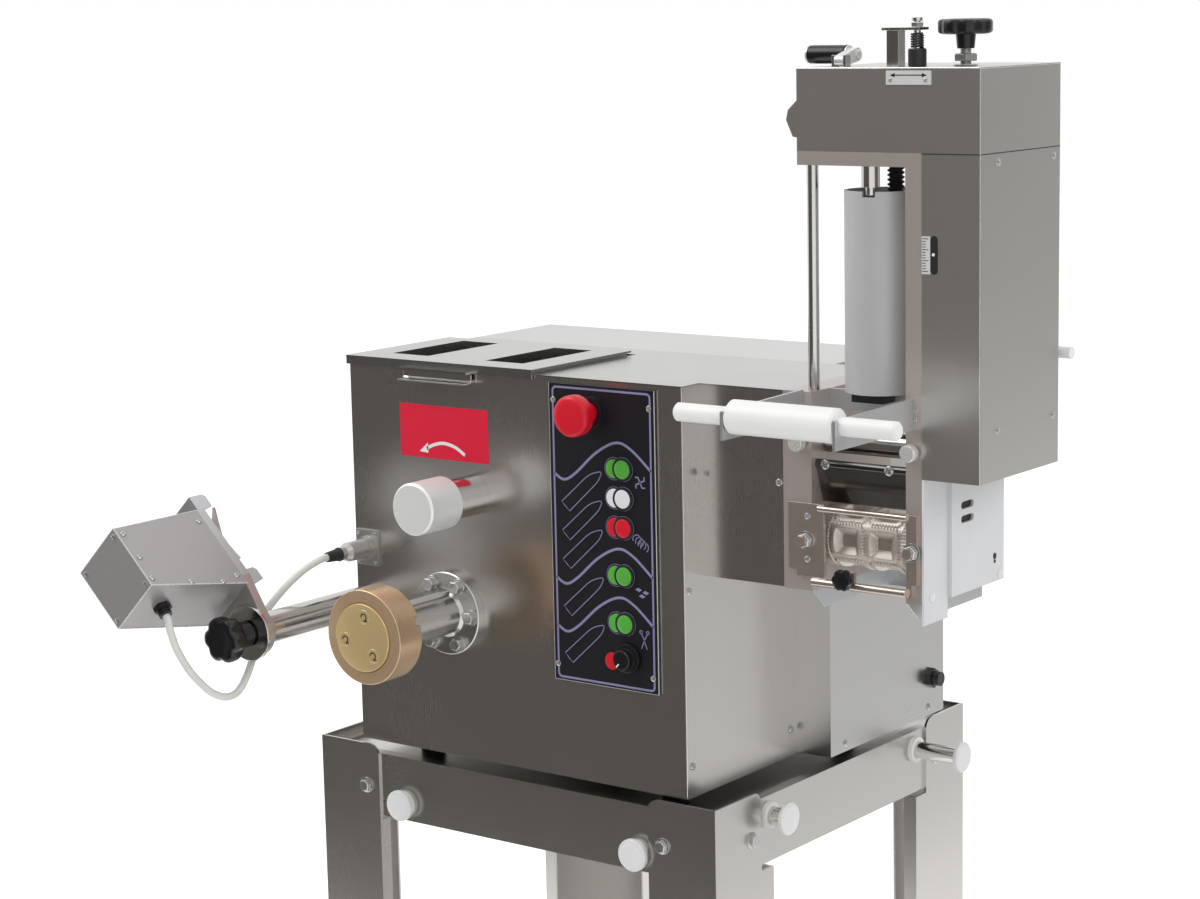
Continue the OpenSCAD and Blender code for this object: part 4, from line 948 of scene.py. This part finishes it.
at = place(671.2, 82.6, span("adjusting_knob")[1][2])
neck = turned(at, UP, [(-26, 7.2), (-25.6, 7.8), (-13, 9.0), (-12.8, 0.5)])
top_star = [(-13.4, 12), (-13.4, 20), (-12.4, 23.4), (-10.6, 24.6), (-3, 24.6),
            (-1, 23.6), (0, 21), (0.2, 12), (0, 0.5)]
knob("adjusting_knob", "adjuster", at, UP, top_star, 7, 0.09, [neck])
thread = [(height, 5.2 if k % 2 else 4.5) for k, height in enumerate(np.arange(-41, -25.5, 0.6))]
nut = join([
    turned(at, UP, [(-40.7, 11), (-39.9, 11), (-39.7, 10.6), (-39.7, 5)]),
    turned(at, UP, [(-37, 10), (-36.4, 11.2), (-30.8, 11.2), (-30.2, 10), (-30.2, 5)], hexagon, 24),
    turned(at, UP, thread),
])
piece("adjuster_nut", nut, "adjuster", screw_steel)

# %% [markdown]
# The press screw over the filling cylinder has a coarse rounded thread. A thread
# is one surface: the radius is a wave of the height in turns minus the angle in
# turns, so the crest climbs one pitch each time round.

# %% Press screw
def threaded(at, along, length, radius, depth, pitch, sides=40):
    """Radius R - depth w, with w a rounded wave of height / pitch - angle / one turn."""
    height = np.linspace(0, length, int(length / pitch * 12) + 1)[:, None]
    angle = np.linspace(0, 2 * np.pi, sides, endpoint=False)[None, :]
    wave = 0.5 + 0.5 * np.cos(2 * np.pi * (height / pitch) - angle)
    return stacked(at, along, height, radius - depth * wave)


low, high = span("press_screw")
at = place((low[0] + high[0]) / 2, (low[1] + high[1]) / 2, low[2])
rope = threaded(at, UP, high[2] - low[2], radius=8, depth=2.2, pitch=4.2)
screw_thread = piece("press_screw_thread", rope, "base", matt_black)
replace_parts(screw_thread, "press_screw")

# %% [markdown]
# A spring is a tube along a helix. It holds the clip's bolt up, over a black seat.
# The crank ends in a ribbed grip, and a pan-head screw closes its arm.

# %% Clip's spring and crank's grip
BOLT_X, CLIP_Y = 636.0, 58.6
coil = np.linspace(0, 2 * np.pi * 6, 240)
COIL_R, COIL_RISE = 5.2, 2.15
helix = np.stack([COIL_R * np.cos(coil), COIL_R * np.sin(coil), coil / (2 * np.pi) * COIL_RISE], axis=1)
spring = tube(place(BOLT_X, CLIP_Y, 710.2) + MM * helix, 0.9 * MM, 8)
piece("clip_spring", spring, "base", matt_black)
seat = [(-0.1, 7.6), (0.6, 8.2), (14.6, 8.2), (15.6, 7.4), (15.8, 3.4)]
piece("clip_seat", turned(place(BOLT_X, CLIP_Y, 694.2), UP, seat), "base", matt_black)
nut_rings = [(0, 5.4), (0.6, 6), (4, 6), (4.6, 5.4), (4.6, 3)]
clip_nut = turned(place(BOLT_X, CLIP_Y, 728.6), UP, nut_rings, hexagon, 24)
piece("clip_nut", clip_nut, "base", screw_steel)

crank_low, crank_high = span("crank_lever")
GRIP_Y, GRIP_Z = crank_low[1] + 27, crank_low[2] + 10
grip_length = 43.0
ribs = [(height, 8.5 if k % 2 else 8.1) for k, height in enumerate(np.arange(4, grip_length - 4, 1.5))]
grip = [(-0.3, 0.5), (-0.3, 5.5), (0.6, 7.4), (2.2, 8.4), *ribs,
        (grip_length - 2, 8.4), (grip_length - 0.2, 7.4)]
grip_shape = turned(place(crank_low[0], GRIP_Y, GRIP_Z), RIGHT, grip)
piece("crank_grip", grip_shape, "crank", black_plastic)
end_screw = screw(place(crank_high[0], GRIP_Y, GRIP_Z), RIGHT, 4.8, arms=1)
piece("crank_screw", end_screw, "crank", nickel)

# %% [markdown]
# Two small printed plates stand on the tower's front: a ruler for the pin's height
# and a strip with two adjusting screws. Their ticks are printed strips.

# %% Scale plates on the tower
EDGE_X, TOWER_Y = span("tower_cover")[0][:2]
plate_white = plastic("scale_plate", (0.62, 0.62, 0.61), 0.35, 300.0, 0.0001)
ruler = rectangle([EDGE_X + 0.4, 513.5], [EDGE_X + 9, 547])
piece("ruler_plate", plate(ruler, TOWER_Y, 0.6), "base", plate_white)
ticks = []
for k, z in enumerate(np.arange(516, 545.5, 2.4)):
    reach = 6.2 if k % 4 == 0 else 3.4
    ticks.append(strip(on_front([[EDGE_X + 1, z], [EDGE_X + 1 + reach, z]], TOWER_Y - 0.6), 0.6, 0.15))
piece("ruler_ticks", join(ticks), "base", matt_black)
strip_plate = rectangle([622, 679], [667.6, 691.4])
piece("head_plate", plate(strip_plate, TOWER_Y, 0.8), "base", plate_white)
double_arrow = [
    strip(on_front([[629, 687.4], [660, 687.4]], TOWER_Y - 0.8), 0.9, 0.15),
    plate([[626, 687.4], [631, 685.6], [631, 689.2]], TOWER_Y - 0.8, 0.15),
    plate([[658.5, 685.6], [663.5, 687.4], [658.5, 689.2]], TOWER_Y - 0.8, 0.15),
]
piece("head_arrow", join(double_arrow), "base", matt_black)

# %% [markdown]
# A dark slot beside the ruler shows a white pointer; a thin black slab over the
# slot paints the shade in it. A fine black gap parts the tower's head from its cover.

# %% Slot, pointer and gap
slot_x = EDGE_X + 12.8
slot_ends = [arc(slot_x, 544, 3.6, 0, 180, 9), arc(slot_x, 517, 3.6, 180, 360, 9)]
# painted shade: a thin black slab over the slot
slot_shade_slab = slab(on_front(np.concatenate(slot_ends), TOWER_Y), FRONT, 0.3)
gap_z = span("tower_head")[0][2]
TOWER_X = span("tower_cover")[1][0]
gap = [
    plate(rectangle([EDGE_X, gap_z - 0.9], [TOWER_X, gap_z]), TOWER_Y, 0.15),
    slab(on_side(rectangle([28.6, gap_z - 0.9], [175.6, gap_z]), TOWER_X), RIGHT, 0.15),
]
piece("tower_slot_shade_and_gap", join([slot_shade_slab, *gap]), "base", matt_black)
pointer = plate(arc(slot_x - 0.6, 531, 1.5, 0, 324, 10), TOWER_Y - 0.3, 0.4)
piece("ruler_pointer", pointer, "base", nylon)

# %% [markdown]
# Sheet metal is bent, not glued, so each long edge is a small round that catches
# the light as a thin bright line. A thin polished tube laid into each edge of the
# tower and housing does that, standing out by a third of a millimetre.

# %% Bent edges
def fold(start, end, radius=0.9):
    """A straight tube along an edge, from one place in millimetres to another."""
    return tube(np.linspace(place(*start), place(*end), 3), radius * MM, 8)


(head_left, _, _), (_, tower_back, tower_top) = span("tower_head")
tower_low = span("tower_cover")[0][2]
head_x = head_left + 14
body_high = span("housing_front")[1]
folds = [
    fold([TOWER_X - 0.6, TOWER_Y + 0.6, tower_low], [TOWER_X - 0.6, TOWER_Y + 0.6, tower_top]),
    fold([head_x, TOWER_Y + 0.6, tower_top - 0.6], [TOWER_X - 0.6, TOWER_Y + 0.6, tower_top - 0.6]),
    fold([TOWER_X - 0.6, TOWER_Y + 0.6, tower_top - 0.6], [TOWER_X - 0.6, tower_back, tower_top - 0.6]),
    fold([body_high[0] - 0.6, 0.6, 0.5], [body_high[0] - 0.6, 0.6, body_high[2]]),
]
piece("folded_edges", join(folds), "base", polished)

# %% [markdown]
# The lid's grip is a bent strip under its front lip. Its section is drawn once, as
# seen from the right, and carried along the grip's length.

# %% Lid's grip
section = [[-2.9, 395], [-4.1, 395], [-4.4, 388.6], [-5.4, 387.6],
           [-13.6, 386.6], [-13.6, 385.3], [-4.6, 386.3], [-3.0, 388]]
piece("lid_grip", slab(on_side(section, 76), RIGHT, 88), "lid", polished)

# %% [markdown]
# The ring nut is a bronze casting, turned all over, with a sharp front corner and
# four notches at its back for a hook spanner. It holds the die, a brass disc that
# stands a little proud of it, with three round inserts. Both are lathe shapes, so
# rings of a profile make them. A notch is the same rings with a smaller radius
# over a few degrees of the turn. Each insert has a dark curl, the slot that the
# dough comes out of.

# %% Ring nut, die and its slots
barrel_low, barrel_high = span("extruder_barrel")
BARREL_X, BARREL_Z = (barrel_low[0] + barrel_high[0]) / 2, (barrel_low[2] + barrel_high[2]) / 2
nut_low, nut_high = span("ring_nut")
NUT_R, NUT_LONG = (nut_high[0] - nut_low[0]) / 2, nut_high[1] - nut_low[1]
PROUD, DIE_R = 3.2, 34.0
nut_profile = [(3, 18), (3, NUT_R - 16), (0, NUT_R - 16), (0, NUT_R - 1), (0.8, NUT_R), (6, NUT_R),
               (6.05, NUT_R), (NUT_LONG - 0.6, NUT_R), (NUT_LONG, NUT_R - 0.6),
               (NUT_LONG + 0.9, DIE_R + 0.9), (NUT_LONG, DIE_R + 0.4),
               (NUT_LONG - 2, DIE_R + 0.4), (NUT_LONG - 2, 4)]
nut_height, nut_radius = np.array(nut_profile).T
ring_angle = np.degrees(np.linspace(0, 2 * np.pi, 180, endpoint=False))
from_notch = np.abs((ring_angle - 20 + 45) % 90 - 45)
nut_table = np.repeat(nut_radius[:, None], 180, axis=1)
notched = np.ix_(range(3, 6), np.flatnonzero(from_notch < 5))
nut_table[notched] = NUT_R - 6
nut_back = place(BARREL_X, nut_high[1], BARREL_Z)
nut_shape = stacked(nut_back, FRONT, nut_height[:, None], nut_table)
nut = piece("bronze_nut", nut_shape, "base", nut_bronze)
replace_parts(nut, "ring_nut")

die_front = nut_low[1] - PROUD
die_profile = [(-PROUD - 1.5, 6), (-PROUD - 1.5, DIE_R), (-1.3, DIE_R), (-0.5, DIE_R - 0.4),
               (0, DIE_R - 1.5), (0, 4)]
die_parts = [turned(place(BARREL_X, die_front, BARREL_Z), FRONT, die_profile, sides=96)]
insert_profile = [(-1, 7.2), (0.25, 7.1), (0.45, 6.8), (0.45, 6.3), (0.15, 6.0), (0.15, 0.4)]
marks = []
for degrees in (80, 190, 311):
    insert_x = BARREL_X + 21.5 * math.cos(math.radians(degrees))
    insert_z = BARREL_Z + 21.5 * math.sin(math.radians(degrees))
    die_parts.append(turned(place(insert_x, die_front, insert_z), FRONT, insert_profile, sides=40))
    hook = np.concatenate([[[insert_x + 4.6, insert_z - 3.5]], arc(insert_x, insert_z, 3.4, -90, 180, 20)])
    marks.append(strip(on_front(hook, die_front - 0.1), 1.1, 0.3))
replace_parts(piece("brass_die", join(die_parts), "base", die_brass), "die")
piece("die_slots", join(marks), "base", matt_black)

# %% [markdown]
# Turned caps close the sliding rods. They are white plastic with a rounded edge,
# pressed over the rod's end, so each is a short profile a little wider than the
# steel below it.

# %% White caps on the tray rods
cap = [(-5.2, 12.6), (-5.2, 15.8), (-4.8, 16.25), (-1.6, 16.2), (-0.5, 15.4),
       (0.1, 13.6), (0.25, 10), (0.3, 0.5)]
rods = (("front_left", FRONT), ("front_right", FRONT), ("side_front", RIGHT), ("side_rear", RIGHT))
for rod, along in rods:
    low, high = span("tray_rod_" + rod)
    centre = (low + high) / 2
    end = [centre[0], low[1], centre[2]] if along is FRONT else [high[0], centre[1], centre[2]]
    piece("rod_cap_" + rod, turned(place(*end), along, cap, sides=40), "rod_" + rod, cap_white)

# %% [markdown]
# Screws go where the sheets overlap. Each row gives the way the heads face, their
# sheet's plane and their places on it. All heads on one body are one mesh, because
# nobody needs to move them apart.

# %% Screws and bolts
def heads_on(facing, plane, radius, places, arms=2):
    """Screw heads on one sheet: places are (x, z) on a front or back and (y, z) on a side."""
    points = [place(a, plane, z) if facing[0] == 0 else place(plane, a, z) for a, z in places]
    return [screw(point, facing, radius, arms) for point in points]


socket_low, socket_high = span("cutter_socket")
socket_corners = [(x, z) for x in (socket_low[0] + 3.6, socket_high[0] - 3.6)
                  for z in (socket_low[2] + 4, socket_high[2] - 4)]
screw_rows = (
    (FRONT, FILM_Y, 3.0, ((266.3, 377.7), (380.3, 377), (265.4, 115.8), (380.3, 115.5))),
    (FRONT, 28.6, 3.4, ((424, 314.2), (505.3, 312.9))),
    (RIGHT, 416, 3.6, ((7.3, 203), (9, 31), (181, 28))),
    (RIGHT, 458, 3.6, ((218, 11), (384, 12), (218, 388), (395, 285))),
    (RIGHT, 716, 3.4, ((60, 611), (163, 611), (164, 374), (60, 374))),
    (FRONT, 25.6, 3.0, ((538.1, 284.9), (537.7, 244.5))),
    (FRONT, 28.6, 2.6, ((651.3, 392.8), (650.4, 383.4))),
    (FRONT, 34.6, 4.6, ((552.3, 333), (620.2, 333)), 1),
    (FRONT, TOWER_Y - 0.8, 1.8, ((626.5, 683.2), (662, 683.2))),
    (-FRONT, 415, 3.6, ((12, 14), (12, 286), (404, 14), (404, 286))),
    (FRONT, -3, 1.9, socket_corners),
)
heads = [head for row in screw_rows for head in heads_on(*row)]
piece("screw_heads", join(heads), "base", screw_steel)

RAIL_Z, RAIL_BOLT = -47, 6.5
bolts = [bolt(place(x, -11, RAIL_Z), FRONT, RAIL_BOLT) for x in (12.6, 393)]
bolts += [bolt(place(455, y, RAIL_Z), RIGHT, RAIL_BOLT) for y in (51, 404)]
bolts += [bolt(place(x, 463, RAIL_Z), -FRONT, RAIL_BOLT) for x in (12.6, 393)]
bolts += [bolt(place(-49, y, RAIL_Z), -RIGHT, RAIL_BOLT) for y in (51, 404)]
bolts += [bolt(place(x, 25.6, 262), FRONT, 7.0) for x in (536, 648.5)]
piece("stand_and_cradle_bolts", join(bolts), "base", screw_steel)

# %% [markdown]
# The two thumb screws beside the scraper are turned with a fine knurl, so that
# fingers can undo them for cleaning.

# %% Thumb screws
thumb = [(0, 4), (2, 4), (2, 7.2), (3, 8), (11, 8), (12, 7.2), (12.3, 0.5)]
thumbs = [turned(place(x, 28.6, 353.3), FRONT, thumb, knurled(28, 0.06), 112) for x in (530, 648.6)]
piece("thumb_screws", join(thumbs), "base", nickel)

# %% [markdown]
# The cutter's motor box is closed with small screws along its edges. It stands
# tilted, so its places are said in its own directions: along the arm, and out of
# its broad upper face.

# %% Screws on the cutter
ARM = np.array([-1.0, 0.0, 1.0]) / math.sqrt(2)
FACE = np.array([1.0, 0.0, 1.0]) / math.sqrt(2)


def on_arm(u, y, w):
    """The place u along the arm from the rod, y from the housing's front and w out of the face."""
    return place(ROD[0], y, ROD[2]) + MM * (u * ARM + w * FACE)


face_screws = ((121.5, -282), (92.5, -281), (116.5, -184), (66.8, -283),
               (52.7, -241.5), (44, -205), (47, -184))
arm_heads = [screw(on_arm(u, y, 35), FACE, 3.0) for u, y in face_screws]
arm_heads += [screw(on_arm(u, -289, w), FRONT, 2.8) for u, w in ((66, 29), (124, 29), (124, -29), (66, -29))]
piece("cutter_screws", join(arm_heads), "cutter", screw_steel)

# %% [markdown]
# The motor box is folded from the same sheet as the housing, so its edges have the
# same bright bend: a thin line along each fold that shows, in the lighter nickel
# finish as a painted highlight.

# %% Folds of the motor box
arm_front, box_front = span("cutter_arm")[0][1], span("cutter_motor_box")[0][1]
BOX_U, BOX_W, FOLD_IN = (60, 130), 35, 0.5
arm_fold_highlights = []
for w in (-BOX_W + FOLD_IN, BOX_W - FOLD_IN):
    for ends in (((BOX_U[0], box_front), (BOX_U[1], box_front)), ((BOX_U[0], box_front), (36, arm_front)),
                 ((BOX_U[1] - FOLD_IN, box_front), (BOX_U[1] - FOLD_IN, arm_front))):
        first, last = (on_arm(u, y + FOLD_IN, w) for u, y in ends)
        arm_fold_highlights.append(tube(np.linspace(first, last, 3), 0.7 * MM, 8))
for u in BOX_U:
    first, last = (on_arm(u, box_front + FOLD_IN, w) for w in (-BOX_W, BOX_W))
    arm_fold_highlights.append(tube(np.linspace(first, last, 3), 0.7 * MM, 8))
# painted highlight: the fold lines take the lighter nickel finish
piece("motor_box_fold_highlights", join(arm_fold_highlights), "cutter", nickel)

# %% [markdown]
# The white guard beside the ravioli unit has two pill-shaped holes and a keyhole,
# and two rivets hold it. The holes are dark because the space behind them lies
# in shade; a thin black slab on the floor of each paints that shade.

# %% Guard's rivets and holes
GUARD_X = span("side_guard")[1][0]


def pill(start, end, z, radius):
    """Outline of a hole with round ends, from start to end at height z."""
    return np.concatenate([arc(end, z, radius, -90, 90, 9), arc(start, z, radius, 90, 270, 9)])


# painted shade: thin black slabs in the holes and the keyhole
hole_shade_slabs = [slab(on_side(pill(92.6, 108.6, z, 3.3), GUARD_X - 2.9), RIGHT, 0.4) for z in (296, 283)]
hole_shade_slabs.append(slab(on_side(arc(152, 238.5, 3.0, 0, 345, 24), GUARD_X), RIGHT, 0.3))
hole_shade_slabs.append(slab(on_side(pill(152, 152.01, 233.5, 1.8), GUARD_X), RIGHT, 0.35))
piece("guard_hole_shade", join(hole_shade_slabs), "base", matt_black)
rivet = [(0, 4.6), (0.6, 4.4), (1.3, 3.2), (1.6, 0.5)]
rivets = [turned(place(x, y, z), RIGHT, rivet) for x, y, z in ((GUARD_X - 4, 43, 219), (GUARD_X, 162, 219.5))]
piece("guard_rivets", join(rivets), "base", cap_white)

# %% [markdown]
# Six bolts hold the barrel's flange to the housing, in a circle round its axis.
# The clamp that grips the swinging rod ends in a polished collar, and a light
# metal edge frames the control panel's plate.

# %% Flange bolts, clamp collar and panel edge
washer = [(0, 8.2), (1.2, 8.2), (1.5, 7.8), (1.5, 3)]
flats = [(1.2, 6.7), (7.4, 6.7), (8.3, 5.6), (8.3, 3), (8.2, 0.5)]
flange_bolts = []
for k, (x, z) in enumerate(arc(BARREL_X, BARREL_Z, 34, 0, 300, 6)):
    at = place(x, -9, z)
    flange_bolts += [turned(at, FRONT, washer), turned(at, FRONT, flats, hexagon, 24, 0.1 + k)]
piece("flange_bolts", join(flange_bolts), "base", screw_steel)
collar = [(-0.2, 27), (0.4, 28), (3.6, 28), (4.2, 27.2), (4.2, 13.6)]
collar_disc = turned(place(ROD[0], -177, ROD[2]), FRONT, collar, sides=64)
piece("clamp_collar", collar_disc, "cutter", polished)
x0, x1, z0, z1 = panel_low[0], panel_high[0], panel_low[2], panel_high[2]
edge = [slab(on_side(rectangle([-3.1, z0], [-2.1, z1]), x), RIGHT, 0.3) for x in (x1, x0 - 0.3)]
edge.append(plate(rectangle([x0, z0 - 0.3], [x1, z0]), -2.1, 1.0))
piece("panel_edge", join(edge), "base", knob_aluminium)

# %% [markdown]
# The studio is plain: a pale floor, a soft lamp high on the left and a weaker one
# on the right. The world is white for the camera and for reflections, and softer
# as a light. Steel shows what stands round it, so cards that only reflections see
# give the sheets their tones: dark ones in front, and pale and grey ones at the right.

# %% Studio
def lamp(name, at, towards, size, power):
    """A square soft lamp at a point in metres that faces another point."""
    light = bpy.data.lights.new(name, "AREA")
    light.size = size
    light.energy = power
    made = bpy.data.objects.new(name, light)
    everything.objects.link(made)
    facing = Vector(np.array(towards, float) - np.array(at, float)).to_track_quat("-Z", "Y")
    made.matrix_world = Matrix.Translation(at) @ facing.to_matrix().to_4x4()


lamp("key_lamp", (-2.2, -1.6, 4.0), (0, 0, 0.9), 2.4, 60)
lamp("fill_lamp", (3.4, 0.4, 3.2), (0, 0, 0.9), 2.0, 32)

WORLD_LIGHT, FLOOR_LIFT = 0.80, 0.5
world = bpy.data.worlds.new("studio")
bpy.context.scene.world = world
sky = Graph(world, "Background")
sky.feed(Color=(1, 1, 1, 1), Strength=sky.seen() * (1 - WORLD_LIGHT) + WORLD_LIGHT)


def stage_sheet(name, corners, material):
    """One flat four-cornered stage piece."""
    mesh = bpy.data.meshes.new(name)
    mesh.from_pydata(corners, [], [[0, 1, 2, 3]])
    mesh.materials.append(material)
    made = bpy.data.objects.new(name, mesh)
    everything.objects.link(made)
    return made


floor_paint = Finish("floor", Roughness=0.9, Specular_IOR_Level=0.0, Base_Color=(0.8, 0.8, 0.8, 1),
                     Emission_Color=(1, 1, 1, 1))
floor_paint.feed(Emission_Strength=floor_paint.seen() * FLOOR_LIFT)
half = 15
floor_corners = [(-half, -half, 0), (half, -half, 0), (half, half, 0), (-half, half, 0)]
stage_sheet("floor", floor_corners, floor_paint.material)


def reflected_card(name, corners, tone):
    """A card of one tone that only reflections see: it neither shows, lights nor shades anything."""
    paint = Finish(name, Roughness=1.0, Specular_IOR_Level=0.0, Base_Color=(0, 0, 0, 1),
                   Emission_Color=(*tone, 1), Emission_Strength=1.0)
    card = stage_sheet(name, corners, paint.material)
    for kind_of_ray in ("camera", "diffuse", "shadow", "transmission", "volume_scatter"):
        setattr(card, "visible_" + kind_of_ray, False)


dark, grey, pale = (0.115, 0.105, 0.096), (0.27, 0.27, 0.265), (0.80, 0.80, 0.795)
reflected_card("dark_wall", [(-7, -3.5, 0.02), (1.2, -3.5, 0.02), (1.2, -3.5, 3.4), (-7, -3.5, 3.4)], dark)
reflected_card("dark_floor", [(-7, -3.5, 0.01), (1.2, -3.5, 0.01), (0.4, -0.8, 0.01), (-7, -0.8, 0.01)], dark)
reflected_card("grey_floor", [(0.9, 0.9, 0.01), (3.6, -0.5, 0.01), (3.6, 8, 0.01), (0.9, 8, 0.01)], pale)
reflected_card("grey_wall", [(3.6, -0.5, 0.02), (3.6, 8, 0.02), (3.6, 8, 3.6), (3.6, -0.5, 3.6)], grey)
print("studio ready")
